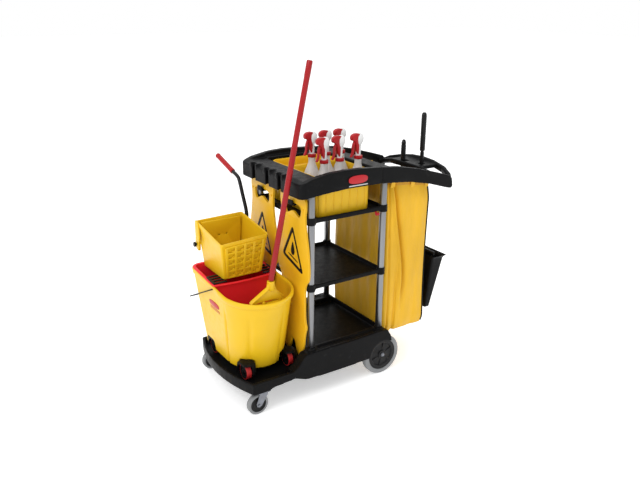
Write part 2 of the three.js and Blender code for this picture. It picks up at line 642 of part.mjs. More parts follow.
// ---- Wringer ----------------------------------------------------------------------------------
function wringerBasket() {
  const b = BASKET;
  const level = (t, inset) => {
    const mix = (low, high) => low + (high - low) * t;
    const shape = roundedRect(
      mix(b.baseFront, b.topFront) + inset, mix(b.baseRear, b.topRear) - inset,
      mix(b.baseNear, b.topNear) + inset, b.far - inset, 10,
    );
    const rim = (p) => b.nearTop + ((b.top - b.nearTop) * (p.y - b.topNear)) / (b.far - b.topNear);
    return ring(shape, (p) => b.base + (rim(p) - b.base) * t, 3);
  };
  const shell = cut(
    loft([level(0, 0), level(1, 0)]),
    loft([level(0, b.wall).map(([x, y]) => [x, y, b.base + b.wall]), level(1, b.wall).map(([x, y, z]) => [x, y, z + 5])]),
  );
  const drains = [-460, -430, -400, -370, -340].map((x) => block(x - 5, x + 5, 60, 200, b.base - 5, b.base + 10));
  const wings = [[-558, -486], [-310, -234]].map(([x0, x1]) => block(x0, x1, -12, 92, 558.6, 565));
  const ears = [[-521, -509], [-308, -296]].map(([x0, x1]) => slabX(
    outline([[b.far - 6, 640], [b.far + 10, 640], [260, 655], [260, 684], [242, 760], [b.far - 6, 760]]), x0, x1,
  ));
  const wingTrim = loft([level(0, b.wall), level(1, b.wall)]);
  const shaftHole = drum('x', SHAFT.bore, -600, -200, [SHAFT.y, SHAFT.z], 14);
  return cut(join(cut(shell, ...drains), ...wings.map((w) => cut(w, wingTrim)), ...ears), shaftHole);
}

function pressPlate() {
  return slabY(outline([[-484, 572], [-308, 572], [-300, 766], [-508, 766]]), 213, 221);
}

const LEVER_PATH = [
  [SHAFT.leverX, SHAFT.y - 2, SHAFT.z + 8], [SHAFT.leverX, 212, 728], [SHAFT.leverX, 193, 792], [SHAFT.leverX, 231, 877],
  [SHAFT.leverX, 263, 942], [SHAFT.leverX, 284, 958], [SHAFT.leverX, 324, 968],
];

function wringerLever() {
  return join(
    tube(LEVER_PATH, 9, 16, 8),
    drum('x', 16, SHAFT.leverX - 9, SHAFT.leverX + 9, [SHAFT.y, SHAFT.z], 12),
    drum('x', SHAFT.radius, SHAFT.knobX + 4, SHAFT.leverX, [SHAFT.y, SHAFT.z], 10),
    drum('x', 12, SHAFT.knobX - 4, SHAFT.knobX + 8, [SHAFT.y, SHAFT.z], 12),
  );
}

const wringerGrip = () => straight([SHAFT.leverX, 326, 969], [SHAFT.leverX, 492, 1018], 13, 12);

// ---- Mop, dustpan and broom -------------------------------------------------------------------
function mopClamp() {
  const shape = outline([
    [-16, 0], [16, 0], [18, -34], [50, -74], [52, -106], [-100, -106], [-102, -80], [-20, -34],
  ]);
  const body = slabY(shape, -13, 13);
  const jawSlot = slabY(outline([[-90, -88], [40, -88], [40, -98], [-90, -98]]), -20, 20);
  return cut(body, jawSlot);
}

function dustpanPan() {
  const level = (x0, x1, halfY, z) => ring(roundedRect(x0, x1, DUSTPAN.y - halfY, DUSTPAN.y + halfY, 8), z, 3);
  const outer = loft([
    level(554, 586, 112, DUSTPAN.base), level(554, 630, 146, DUSTPAN.top - 12), level(554, 642, 156, DUSTPAN.top),
  ]);
  const inner = loft([
    level(557, 583, 109, DUSTPAN.base + 4), level(557, 627, 143, DUSTPAN.top - 12), level(557, 639, 153, DUSTPAN.top + 0.5),
  ]);
  return cut(outer, inner);
}

function dustpanHandle() {
  const { x, y, tube: r, grip, gripTop, top } = DUSTPAN;
  const profile = [
    [0, top + 14], [r, top + 14], [r, gripTop - 190], [grip, gripTop - 180], [grip, gripTop - 10], [grip - 6, gripTop],
    [0, gripTop],
  ];
  const yoke = join(
    block(x - 6, x + 6, y - 135, y + 135, top + 8, top + 20),
    ...[y - 135, y + 125].map((y0) => block(x - 6, x + 6, y0, y0 + 10, top - 18, top + 20)),
  );
  return join(turned(profile, 14).translate(x, y, 0), yoke);
}

function broomHandle() {
  const { x, y, tube: r, grip, gripTop, head } = BROOM;
  const profile = [
    [0, head + GAP], [r, head + GAP], [r, gripTop - 110], [grip, gripTop - 102], [grip, gripTop - 24],
    [grip - 5, gripTop], [0, gripTop],
  ];
  return turned(profile, 14).translate(x, y, 0);
}

function broomHead() {
  const { x, y, head, base } = BROOM;
  const level = (hx, hy, z) => ring(roundedRect(x - hx, x + hx, y - hy, y + hy, 6), z, 3);
  return loft([level(13, 110, base), level(14, 88, head - 70), level(14, 84, head - 30), level(12, 30, head)]);
}

// ---- Build ------------------------------------------------------------------------------------
add('deck', deck(), 'black');
posts();
for (const [name, level] of SHELF_LEVELS) add(name, shelf(level), 'black');
add('top_frame', topFrame(), 'black');
add('rear_handle', rearHandle(), 'black');
rearWheels();
frontCasters();
for (const [name, y0, y1] of BINS) add(name, bin(y0, y1), 'yellow');
sprayBottles(BOTTLE.base);
add('bag', bag(), 'gold');
signs();
add('bucket_body', bucketBody(), 'yellow');
add('bucket_insert', bucketInsert(), 'red');
add('bail_wire', bailWire(), 'steel');
bucketCasters();
add('wringer_basket', wringerBasket(), 'yellow');
add('press_plate', pressPlate(), 'yellow');
add('wringer_lever', wringerLever(), 'black');
add('wringer_grip', wringerGrip(), 'red');
add('mop_handle', straight([MOP.footX, MOP.y, MOP.footZ + 3], [MOP.topX, MOP.y, MOP.topZ], MOP.radius), 'red');
add('mop_clamp', mopClamp(), 'yellow', cart, [MOP.footX, MOP.y, MOP.footZ]);
add('dustpan_pan', dustpanPan(), 'black');
add('dustpan_handle', dustpanHandle(), 'black');
add('broom_handle', broomHandle(), 'black');
add('broom_head', broomHead(), 'black');

// The origin is the middle of the whole object's box, on the floor.
cart.updateMatrixWorld(true);
const extent = new THREE.Box3().setFromObject(cart);
const middle = extent.getCenter(new THREE.Vector3());
cart.position.set(-middle.x, -middle.y, -extent.min.z);
cart.updateMatrixWorld(true);

export default cart;
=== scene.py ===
import json
import math
import random

import bmesh
import bpy
import numpy as np
from mathutils import Matrix, Vector


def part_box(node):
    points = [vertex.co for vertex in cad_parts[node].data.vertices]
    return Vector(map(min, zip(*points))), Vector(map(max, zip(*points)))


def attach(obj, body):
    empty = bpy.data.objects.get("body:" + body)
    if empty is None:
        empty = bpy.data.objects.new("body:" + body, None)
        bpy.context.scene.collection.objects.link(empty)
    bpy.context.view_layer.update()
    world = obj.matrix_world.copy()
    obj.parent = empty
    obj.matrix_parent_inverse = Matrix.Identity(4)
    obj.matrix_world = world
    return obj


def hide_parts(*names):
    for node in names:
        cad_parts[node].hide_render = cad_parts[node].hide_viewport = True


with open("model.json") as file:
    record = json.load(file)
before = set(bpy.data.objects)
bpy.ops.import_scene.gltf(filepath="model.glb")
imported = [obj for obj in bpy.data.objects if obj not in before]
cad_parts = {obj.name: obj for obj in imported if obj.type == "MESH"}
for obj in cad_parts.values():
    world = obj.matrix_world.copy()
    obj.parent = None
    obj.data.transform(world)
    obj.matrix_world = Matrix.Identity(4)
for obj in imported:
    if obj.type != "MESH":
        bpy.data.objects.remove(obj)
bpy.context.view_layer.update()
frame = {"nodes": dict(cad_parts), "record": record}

# A loaded cleaning cart. Shapes are drawn in the cart's own millimetres and moved into the row frame.
# +X is the push handle end, -X the bucket platform, -Y the near side, z is height above the floor.
POST_X, POST_Y, POST_R = -186, 228, 16
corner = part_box("post_front_near")[0]
SHIFT = Vector((corner.x * 1000 - (POST_X - POST_R), corner.y * 1000 + POST_Y + POST_R, 0))
rng = random.Random(7)


def W(p):
    return ((p[0] + SHIFT.x) / 1000, (p[1] + SHIFT.y) / 1000, p[2] / 1000)


def mix(a, b, t):
    return a + (b - a) * t


def smoothstep(a, b, x):
    t = np.clip((x - a) / (b - a), 0, 1)
    return t * t * (3 - 2 * t)


def run(start, span, count):
    """Values from start to start + span in count equal steps."""
    return [start + span * k / count for k in range(count + 1)]


def mirrored(profile):
    """A lathe profile followed by its mirror image in the plane of height 0."""
    return profile + [(r, -h) for r, h in reversed(profile)]


# ---- Materials --------------------------------------------------------------------------------
def material(name, color, rough=0.45, metal=0.0, mottle=0.12, mottle_scale=6, grain=900, bump=0.08,
             stretch=(1, 1, 1), rough_spread=0.08, transmission=0.0, sheen=0.0, weave=0.0,
             scuff=0.0, wrinkle=0.0, ior=1.5):
    m = bpy.data.materials.new(name)
    m.use_nodes = True
    nt = m.node_tree
    n, link = nt.nodes, nt.links.new
    bsdf = n["Principled BSDF"]
    coord = n.new("ShaderNodeTexCoord")
    place = n.new("ShaderNodeMapping")
    place.inputs["Scale"].default_value = stretch
    link(coord.outputs["Object"], place.inputs["Vector"])

    def noise(scale, detail=3.0):
        t = n.new("ShaderNodeTexNoise")
        t.inputs["Scale"].default_value = scale
        t.inputs["Detail"].default_value = detail
        link(place.outputs["Vector"], t.inputs["Vector"])
        return t.outputs["Fac"]

    def mapped(value, low, high, a=0.3, b=0.7):
        r = n.new("ShaderNodeMapRange")
        r.inputs["From Min"].default_value, r.inputs["From Max"].default_value = a, b
        r.inputs["To Min"].default_value, r.inputs["To Max"].default_value = low, high
        link(value, r.inputs["Value"])
        return r.outputs["Result"]

    def blend(fac, a, b):
        x = n.new("ShaderNodeMix")
        x.data_type = "RGBA"
        link(fac, x.inputs["Factor"])
        for socket, value in ((x.inputs["A"], a), (x.inputs["B"], b)):
            if isinstance(value, tuple):
                socket.default_value = (*value, 1)
            else:
                link(value, socket)
        return x.outputs["Result"]

    dark = tuple(c * (1 - mottle) for c in color)
    light = tuple(min(1, c * (1 + mottle)) for c in color)
    shade = blend(mapped(noise(mottle_scale, 4), 0, 1), dark, light)
    if scuff:
        pale = tuple(mix(c, 0.5, 0.35) for c in color)
        shade = blend(mapped(noise(38, 8), 0, scuff, 0.62, 0.72), shade, pale)
    link(shade, bsdf.inputs["Base Color"])
    link(mapped(noise(mottle_scale * 7, 5), rough - rough_spread, rough + rough_spread),
         bsdf.inputs["Roughness"])
    height = noise(grain, 2)
    last = None

    def add_bump(value, strength, distance):
        nonlocal last
        b = n.new("ShaderNodeBump")
        b.inputs["Strength"].default_value = strength
        b.inputs["Distance"].default_value = distance
        link(value, b.inputs["Height"])
        if last:
            link(last, b.inputs["Normal"])
        last = b.outputs["Normal"]

    add_bump(height, bump, 0.0006)
    if weave:
        for turn in ("X", "Z"):
            w = n.new("ShaderNodeTexWave")
            w.bands_direction = turn
            w.inputs["Scale"].default_value = weave
            w.inputs["Distortion"].default_value = 0.6
            link(place.outputs["Vector"], w.inputs["Vector"])
            add_bump(w.outputs["Fac"], 0.12, 0.0003)
    if wrinkle:
        add_bump(noise(20, 4), wrinkle, 0.006)
    link(last, bsdf.inputs["Normal"])
    bsdf.inputs["Metallic"].default_value = metal
    bsdf.inputs["Transmission Weight"].default_value = transmission
    bsdf.inputs["Sheen Weight"].default_value = sheen
    bsdf.inputs["IOR"].default_value = ior
    return m


DARK = 1.17  # low refraction keeps the dark mouldings from greying under the white studio
LOOKS = {
    "black": material("moulded_black", (0.0045, 0.0046, 0.0050), 0.40, mottle=0.25, grain=1400, bump=0.22,
            scuff=0.03, ior=DARK),
    "tube_black": material("coated_black", (0.006, 0.006, 0.0065), 0.28, mottle=0.2, grain=700, bump=0.06,
            ior=1.3),
    "tread_black": material("hub_black", (0.008, 0.008, 0.0085), 0.42, mottle=0.25, grain=900, bump=0.2,
            scuff=0.04, ior=1.28),
    "bucket": material("moulded_lemon", (0.70, 0.435, 0.009), 0.36, mottle=0.04, grain=1100, bump=0.1,
            scuff=0.015, ior=1.35),
    "yellow": material("moulded_yellow", (0.76, 0.45, 0.009), 0.4, mottle=0.05, grain=1000, bump=0.12,
            scuff=0.015, ior=1.35),
    "sign": material("sign_yellow", (0.74, 0.42, 0.012), 0.36, mottle=0.05, grain=900, bump=0.08, scuff=0.02,
            ior=1.35),
    # The cloth's mottle is stretched upright into darker vertical streaks: random tone, plus painted shade
    # standing in for the folds.
    "cloth": material("coated_cloth", (0.70, 0.395, 0.014), 0.55, mottle=0.13, mottle_scale=4, grain=1800,
            bump=0.2,
                      stretch=(2.4, 2.4, 0.7), sheen=0.05, weave=420, wrinkle=0.55, ior=1.35),
    # The hem band is real; its darker brown is painted shade for the shadow at the bag's top under the frame
    # arm.
    "hem": material("cloth_hem", (0.60, 0.29, 0.008), 0.6, mottle=0.12, grain=1800, bump=0.3, weave=420),
    "piping": material("black_piping", (0.006, 0.006, 0.006), 0.5, mottle=0.2, grain=1500, bump=0.3,
            weave=600, ior=DARK),
    "red": material("moulded_red", (0.34, 0.005, 0.008), 0.36, mottle=0.08, grain=1000, bump=0.1, scuff=0.02,
            ior=1.32),
    "mop_red": material("coated_red", (0.29, 0.008, 0.011), 0.3, mottle=0.08, grain=500, bump=0.04, ior=1.32),
    # A brighter copy of the moulded red, painted light: it lifts the insert's near wall, which sits in shade.
    "insert_red": material("insert_red", (0.78, 0.018, 0.030), 0.36, mottle=0.07, grain=1000, bump=0.1,
            scuff=0.02, ior=1.32),
    "wheel_red": material("wheel_red", (0.40, 0.016, 0.016), 0.5, mottle=0.12, grain=900, bump=0.15,
            scuff=0.04, ior=1.35),
    "badge": material("badge_red", (0.42, 0.008, 0.014), 0.42, mottle=0.06, grain=600, bump=0.05, ior=1.4),
    "label": material("label_grey", (0.45, 0.45, 0.46), 0.4, mottle=0.08, grain=600, bump=0.05),
    "ink": material("sign_ink", (0.008, 0.008, 0.008), 0.4, mottle=0.2, grain=700, bump=0.05, ior=DARK),
    "aluminium": material("satin_aluminium", (0.25, 0.255, 0.265), 0.32, metal=1, mottle=0.06, mottle_scale=9,
                          grain=160, bump=0.08, stretch=(6, 6, 0.2), rough_spread=0.06),
    "zinc": material("zinc_plate", (0.20, 0.21, 0.235), 0.34, metal=1, mottle=0.14, mottle_scale=40,
            grain=420, bump=0.08),
    "wire": material("drawn_wire", (0.007, 0.007, 0.0075), 0.45, mottle=0.1, mottle_scale=30, grain=500,
            bump=0.05, ior=DARK),
    "tyre": material("grey_tread", (0.20, 0.205, 0.21), 0.62, mottle=0.1, mottle_scale=22, grain=700,
            bump=0.3, scuff=0.05),
    "bottle": material("frosted_plastic", (0.78, 0.77, 0.77), 0.36, mottle=0.03, grain=300, bump=0.05,
                       transmission=0.4, ior=1.4),
    "white": material("moulded_white", (0.64, 0.64, 0.635), 0.4, mottle=0.04, grain=900, bump=0.08, ior=1.4),
    "bristle": material("bristle_black", (0.007, 0.007, 0.0075), 0.7, mottle=0.3, grain=300, bump=0.8,
            stretch=(14, 14, 1), ior=DARK),
}


# ---- Mesh building ----------------------------------------------------------------------------
class Shape:
    """Vertices in cart millimetres, and faces."""

    def __init__(self, v=(), f=()):
        self.v = [tuple(p) for p in v]
        self.f = [tuple(q) for q in f]

    def add(self, v, f):
        k = len(self.v)
        self.v += [tuple(p) for p in v]
        self.f += [tuple(i + k for i in q) for q in f]
        return self

    def join(self, *others):
        for o in others:
            self.add(o.v, o.f)
        return self

    def skin(self, rings, cap0=True, cap1=True, wrap=True, loop=False):
        n, v, f = len(rings[0]), [p for r in rings for p in r], []
        for a in range(len(rings) - (0 if loop else 1)):
            b = (a + 1) % len(rings)
            for i in range(n if wrap else n - 1):
                j = (i + 1) % n
                f.append((a * n + i, a * n + j, b * n + j, b * n + i))
        if cap0 and not loop:
            f.append(tuple(reversed(range(n))))
        if cap1 and not loop:
            f.append(tuple((len(rings) - 1) * n + i for i in range(n)))
        return self.add(v, f)

    def lathe(self, profile, axis="z", at=(0, 0, 0), seg=48, loop=False):
        rings = []
        for r, h in profile:
            ring = []
            for i in range(seg):
                a = 2 * math.pi * i / seg
                c, s = r * math.cos(a), r * math.sin(a)
                d = {"z": (c, s, h), "y": (c, h, s), "x": (h, c, s)}[axis]
                ring.append((at[0] + d[0], at[1] + d[1], at[2] + d[2]))
            rings.append(ring)
        return self.skin(rings, loop=loop)

    def tube(self, points, radius, sides=16):
        pts = [Vector(p) for p in points]
        radii = radius if isinstance(radius, (list, tuple)) else [radius] * len(pts)
        up = Vector((0, 0, 1)) if abs((pts[1] - pts[0]).normalized().z) < 0.9 else Vector((0, 1, 0))
        rings = []
        for i, p in enumerate(pts):
            along = (pts[min(i + 1, len(pts) - 1)] - pts[max(i - 1, 0)]).normalized()
            across = along.cross(up).normalized()
            up = across.cross(along).normalized()
            rings.append([tuple(p + (across * math.cos(a) + up * math.sin(a)) * radii[i])
                          for a in (2 * math.pi * k / sides for k in range(sides))])
        return self.skin(rings)

    def block(self, x0, x1, y0, y1, z0, z1, r=1.5, seg=2):
        bm = bmesh.new()
        bmesh.ops.create_cube(bm, size=1)
        for v in bm.verts:
            v.co = (mix(x0, x1, v.co.x + 0.5), mix(y0, y1, v.co.y + 0.5), mix(z0, z1, v.co.z + 0.5))
        if r:
            bmesh.ops.bevel(bm, geom=bm.edges[:], offset=r, segments=seg, profile=0.5, affect="EDGES")
        bm.verts.index_update()
        self.add([v.co[:] for v in bm.verts], [[v.index for v in f.verts] for f in bm.faces])
        bm.free()
        return self

    def moved(self, change):
        self.v = [tuple(change(*p)) for p in self.v]
        return self

    def clean(self, gap=0.01):
        bm = bmesh.new()
        vs = [bm.verts.new(p) for p in self.v]
        for q in self.f:
            try:
                bm.faces.new([vs[i] for i in q])
            except ValueError:
                pass
        bmesh.ops.remove_doubles(bm, verts=bm.verts[:], dist=gap)
        bmesh.ops.recalc_face_normals(bm, faces=bm.faces[:])
        bm.verts.index_update()
        self.v = [v.co[:] for v in bm.verts]
        self.f = [tuple(v.index for v in f.verts) for f in bm.faces]
        bm.free()
        return self


def temp_object(shape, name="work"):
    mesh = bpy.data.meshes.new(name)
    mesh.from_pydata(shape.v, [], shape.f)
    o = bpy.data.objects.new(name, mesh)
    bpy.context.scene.collection.objects.link(o)
    return o


def result(o, *rest):
    deps = bpy.context.evaluated_depsgraph_get()
    mesh = bpy.data.meshes.new_from_object(o.evaluated_get(deps))
    s = Shape([v.co[:] for v in mesh.vertices], [tuple(p.vertices) for p in mesh.polygons])
    for x in (o, *rest):
        bpy.data.objects.remove(x)
    return s


def cutaway(shape, *tools):
    o = temp_object(shape)
    others = []
    for t in tools:
        b = temp_object(t.clean())
        b.hide_render = True
        others.append(b)
        m = o.modifiers.new("cut", "BOOLEAN")
        m.operation, m.solver, m.object = "DIFFERENCE", "EXACT", b
    return result(o, *others)


def cad(node):
    mesh = frame["nodes"][node].data
    v = [(p.co.x * 1000 - SHIFT.x, p.co.y * 1000 - SHIFT.y, p.co.z * 1000) for p in mesh.vertices]
    return Shape(v, [tuple(q.vertices) for q in mesh.polygons]).clean()


def remoulded(shape, voxel=3.5, passes=6, keep=0.4):
    """The same solid with every edge rounded, as a moulding has."""
    o = temp_object(shape)
    m = o.modifiers.new("voxels", "REMESH")
    m.mode, m.voxel_size = "VOXEL", voxel
    m = o.modifiers.new("soften", "SMOOTH")
    m.factor, m.iterations = 0.5, passes
    if keep < 1:
        m = o.modifiers.new("thin", "DECIMATE")
        m.ratio = keep
    return result(o)


def chaikin(points, times=2):
    for _ in range(times):
        new = []
        for i, a in enumerate(points):
            b = points[(i + 1) % len(points)]
            new += [tuple(mix(p, q, 0.25) for p, q in zip(a, b)),
                    tuple(mix(p, q, 0.75) for p, q in zip(a, b))]
        points = new
    return points


def plate(outer, holes, thick, bevel, place):
    """A flat plate with rounded edges. place(u, v, w) gives the cart point; w runs from 0 to thick."""
    curve = bpy.data.curves.new("plate", "CURVE")
    curve.dimensions, curve.fill_mode = "2D", "BOTH"
    curve.extrude, curve.bevel_depth, curve.bevel_resolution = thick / 2 - bevel, bevel, 1
    curve.offset = -bevel
    for points in (outer, *holes):
        s = curve.splines.new("POLY")
        s.points.add(len(points) - 1)
        for p, (u, v) in zip(s.points, points):
            p.co = (u, v, 0, 1)
        s.use_cyclic_u = True
    o = bpy.data.objects.new("plate", curve)
    bpy.context.scene.collection.objects.link(o)
    s = result(o)
    return s.moved(lambda u, v, w: place(u, v, w + thick / 2)).clean()


def on_x(x):
    return lambda u, v, w: (x + w, u, v)


def on_y(y):
    return lambda u, v, w: (u, y + w, v)


def curve_through(points, steps=8):
    """Catmull-Rom points along an open path."""
    pts = [Vector(p) for p in points]
    pts = [pts[0] * 2 - pts[1]] + pts + [pts[-1] * 2 - pts[-2]]
    out = []
    for i in range(1, len(pts) - 2):
        a, b, c, d = pts[i - 1:i + 3]
        for k in range(steps):
            t = k / steps
            out.append(0.5 * (2 * b + (c - a) * t + (2 * a - 5 * b + 4 * c - d) * t * t
                              + (3 * b - a - 3 * c + d) * t ** 3))
    return out + [pts[-2]]


def rounded_rect(x0, x1, y0, y1, r, n=8):
    out = []
    for cx, cy, a0 in ((x1 - r, y0 + r, -90), (x1 - r, y1 - r, 0), (x0 + r, y1 - r, 90),
            (x0 + r, y0 + r, 180)):
        for i in range(n + 1):
            a = math.radians(a0 + 90 * i / n)
            out.append((cx + r * math.cos(a), cy + r * math.sin(a)))
    return out


def evenly(points, count):
    """A closed outline sampled at even spacing, starting at its first point."""
    pts = np.array(list(points) + [points[0]], float)
    at = np.concatenate([[0], np.cumsum(np.linalg.norm(np.diff(pts, axis=0), axis=1))])
    s = np.linspace(0, at[-1], count, endpoint=False)
    return np.stack([np.interp(s, at, pts[:, k]) for k in (0, 1)], axis=1)


def piece(name, shape, look, body, nodes=(), sharp=38):
    mesh = bpy.data.meshes.new(name)
    mesh.from_pydata([W(p) for p in shape.v], [], shape.f)
    bm = bmesh.new()
    bm.from_mesh(mesh)
    bmesh.ops.recalc_face_normals(bm, faces=bm.faces[:])
    bm.to_mesh(mesh)
    bm.free()
    mesh.shade_smooth()
    mesh.set_sharp_from_angle(angle=math.radians(sharp))
    mesh.materials.append(LOOKS[look])
    o = bpy.data.objects.new(name, mesh)
    bpy.context.scene.collection.objects.link(o)
    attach(o, body)
    if nodes:
        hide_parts(*nodes)
    return o


# ---- Cart body --------------------------------------------------------------------------------
def sculpt(shape, push):
    """Moves each point by push(x, y, z), three arrays in and a list of three shifts out."""
    p = np.array(shape.v)
    d = push(p[:, 0], p[:, 1], p[:, 2])
    shape.v = [tuple(q) for q in p + np.stack([np.broadcast_to(a, len(p)) for a in d], axis=1)]
    return shape


def band(x, a, b, soft):
    return smoothstep(a - soft, a + soft, x) * (1 - smoothstep(b - soft, b + soft, x))


POSTS = [("front_near", -186, -228), ("front_far", -186, 228), ("rear_near", 207, -228),
        ("rear_far", 207, 228)]


def deck_push(x, y, z):
    slot = band(x, -150, 172, 6) * band(abs(y), 224, 254, 4) * (z > 222)
    line = np.exp(-((z - 158) / 2.6) ** 2) * (abs(y) > 262) * band(x, -480, 90, 12)
    return 0, -np.sign(y) * line * 1.6, -5 * slot


deck = remoulded(cad("deck"), 3.5, 5, 0.45)
piece("deck_moulding", sculpt(deck, deck_push), "black", "cart", ["deck"])

for name, x, y in POSTS:
    profile = [(13.6, 245.6), (15.4, 245.6), (16, 246.4), (16, 1013.6), (15.4, 1014.6), (13.6, 1014.6)]
    piece(f"post_tube_{name}", Shape().lathe(profile, at=(x, y, 0), seg=56, loop=True), "aluminium", "cart",
          [f"post_{name}"])

for name, level in (("middle", 542), ("upper", 853)):
    shelf = cad(f"shelf_{name}")
    for _, x, y in POSTS:
        collar = [(17, -16), (20.6, -16), (20.6, -12), (20, -10), (20, 10), (20.6, 12), (20.6, 16), (17, 16)]
        shelf.join(Shape().lathe([(r, level + h) for r, h in collar], at=(x, y, 0), seg=24, loop=True))
    piece(f"shelf_moulding_{name}", remoulded(shelf, 3.0, 3, 0.4), "black", "cart",
          [f"shelf_{name}"])

frame_body = cad("top_frame")
for y in (146, 21, -88):
    for side in (-1, 1):
        frame_body.join(Shape().block(-266, -236, y + side * 24 - 7, y + side * 24 + 7, 1020, 1046, 0))
    frame_body.join(Shape().block(-250, -226, y - 22, y + 22, 1030, 1044, 0))


def frame_push(x, y, z):
    face = abs(y) > 262
    brow = smoothstep(-112, -104, x) * face * smoothstep(990, 1002, z)
    return 0, np.sign(y) * brow * 2.6, 0


piece("frame_moulding", sculpt(remoulded(frame_body, 3.2, 5, 0.45), frame_push), "black", "cart",
      ["top_frame"])


def handle_push(x, y, z):
    brow = (1 - smoothstep(440, 520, x)) * (abs(y) > 262) * smoothstep(975, 990, z)
    return 0, np.sign(y) * brow * 2.4, 0


piece("handle_moulding", sculpt(remoulded(cad("rear_handle"), 3.2, 5, 0.45), handle_push), "black", "cart",
      ["rear_handle"])


def oval(cx, cz, a, b, n=48, power=2.6):
    out = []
    for i in range(n):
        t = 2 * math.pi * i / n
        c, s = math.cos(t), math.sin(t)
        out.append((cx + a * math.copysign(abs(c) ** (2 / power), c),
                cz + b * math.copysign(abs(s) ** (2 / power), s)))
    return out


for tag, side in (("near", -1), ("far", 1)):
    y = side * 276.4 - (2.4 if side < 0 else 0)
    piece(f"badge_{tag}", plate(oval(24, 1022, 51, 18.5), [], 2.4, 0.9, on_y(y)), "badge", "cart")
    strip = Shape().block(-24, 76, y + 0.2, y + 2.2, 993.4, 998.6, 0.8)
    piece(f"badge_strip_{tag}", strip, "label", "cart")
    latch = Shape().block(158, 178, side * 238 - 5, side * 238 + 5, 824, 838, 2.5).block(
        154, 163, side * 238 - 3, side * 238 + 3, 829, 844, 2)
    piece(f"shelf_latch_{tag}", latch, "red", "cart")
    seam = Shape().block(159.4, 161.0, side * 272 - 3.2, side * 272 + 3.2, 988, 1056, 0.3)
    piece(f"frame_seam_{tag}", seam, "tread_black", "cart")

# ---- Rear wheels and casters ------------------------------------------------------------------
WHEEL_X, WHEEL_Y, WHEEL_Z, WHEEL_R, SPOKES = 214, 242, 102, 102, 6
CASTER_X, CASTER_Y, CASTER_R, CASTER_TRAIL = -450, 239, 50, 25


def tyre_profile(inner, outer, half, round_r):
    arc = [(outer - round_r + round_r * math.cos(a), half - round_r + round_r * math.sin(a))
           for a in (math.pi / 2 * k / 6 for k in range(7))]
    side = [(inner, half - 2), (inner + 2, half - 0.6)]
    top = side + [(outer - round_r - 3, half)] + arc[::-1]
    return mirrored(top + [(outer - 0.3, 3.2), (outer - 0.9, 2.6)])


for tag, side in (("near", -1), ("far", 1)):
    at = (WHEEL_X, side * WHEEL_Y, WHEEL_Z)
    body = f"rear_wheel_{tag}"
    tyre = Shape().lathe(tyre_profile(79.4, WHEEL_R, 18, 8), "y", at, 96, True)
    piece(f"tread_{tag}", tyre, "tyre", body, [f"rear_tyre_{tag}"])
    hub = [(7, 18.6), (21, 18.6), (22, 17.8), (23, 12), (28, 10.5), (52, 8.2), (58, 8.6), (61, 13.5),
           (64, 14.5),
           (77.5, 14.5), (79, 13.6)]
    wheel = Shape().lathe(mirrored(hub), "y", at, 72, True)
    for k in range(SPOKES):
        a = math.radians(360 / SPOKES * k + 20)
        c, s = math.cos(a), math.sin(a)
        for face in (-1, 1):
            rib = Shape().block(25, 60, 8 if face > 0 else -12.6, 12.6 if face > 0 else -8, -2.6, 2.6, 1)
            wheel.join(rib.moved(lambda x, y, z: (at[0] + x * c - z * s, at[1] + y, at[2] + x * s + z * c)))
    piece(f"hub_{tag}", wheel, "tread_black", body, [f"rear_hub_{tag}"])

axle = Shape()
for side in (-1, 1):
    end = [(0.8, 265.1), (8, 265.1), (10, 263.5), (10, 261.4), (6.3, 261.4), (6.3, 0)]
    axle.lathe([(r, side * h) for r, h in end], "y", (WHEEL_X, 0, WHEEL_Z), 24)
    nut = [(8.5 * math.cos(math.radians(60 * k)), 8.5 * math.sin(math.radians(60 * k))) for k in range(6)]
    y = 264.2 if side > 0 else -267.4
    axle.join(plate(nut, [], 3.2, 0.6, lambda u, v, w, y=y: (WHEEL_X + u, y + w, WHEEL_Z + v)))
piece("axle_rod", axle, "zinc", "cart", ["rear_axle"])

for tag, side in (("near", -1), ("far", 1)):
    cx, cy = CASTER_X, side * CASTER_Y
    top = Shape().block(cx - 30, cx + 30, cy - 28, cy + 28, 109.7, 112.6, 1)
    for dx in (-22, 22):
        for dy in (-20, 20):
            top.lathe([(0.8, 106.6), (4.6, 106.6), (5.4, 107.6), (5.4, 110)], at=(cx + dx, cy + dy, 0), seg=6)
    top.lathe([(16, 105.2), (21, 105.2), (22, 106.2), (22, 110), (16, 110)], at=(cx, cy, 0), seg=40)
    piece(f"caster_top_{tag}", top, "zinc", "cart", [f"caster_plate_{tag}"])
    fork = remoulded(cad(f"caster_fork_{tag}"), 1.0, 2, 0.5)
    for face in (-1, 1):
        y = cy + face * 19
        bolt = [(0.8, face * 5), (5.5, face * 5), (6.5, face * 4), (6.5, 0)]
        fork.lathe(bolt, "y", (cx - CASTER_TRAIL, y, CASTER_R), 6)
    piece(f"caster_yoke_{tag}", fork, "zinc", f"caster_swivel_{tag}", [f"caster_fork_{tag}"])
    at = (cx - CASTER_TRAIL, cy, CASTER_R)
    rubber = Shape().lathe(tyre_profile(37, CASTER_R, 13, 6), "y", at, 72, True)
    piece(f"caster_tread_{tag}", rubber, "tyre", f"caster_roller_{tag}", [f"caster_wheel_{tag}"])
    core = [(4.6, 13.6), (12, 13.6), (13, 12.4), (16, 9), (30, 8.5), (33, 11.6), (37.4, 12)]
    piece(f"caster_core_{tag}", Shape().lathe(mirrored(core), "y", at, 56, True), "tread_black",
          f"caster_roller_{tag}")


# ---- Bins and bottles -------------------------------------------------------------------------
def outward(points):
    t = np.roll(points, -1, axis=0) - np.roll(points, 1, axis=0)
    n = np.stack([t[:, 1], -t[:, 0]], axis=1)
    return n / np.linalg.norm(n, axis=1)[:, None]


def level_ring(points, normals, inset, z):
    q = points - normals * np.reshape(inset, (-1, 1)) if np.ndim(inset) else points - normals * inset
    z = np.broadcast_to(z, len(q))
    return [(a, b, c) for (a, b), c in zip(q, z)]


BIN_FRONT, BIN_REAR, BIN_CORNER, BIN_PITCH = -140, 156, 34, 44


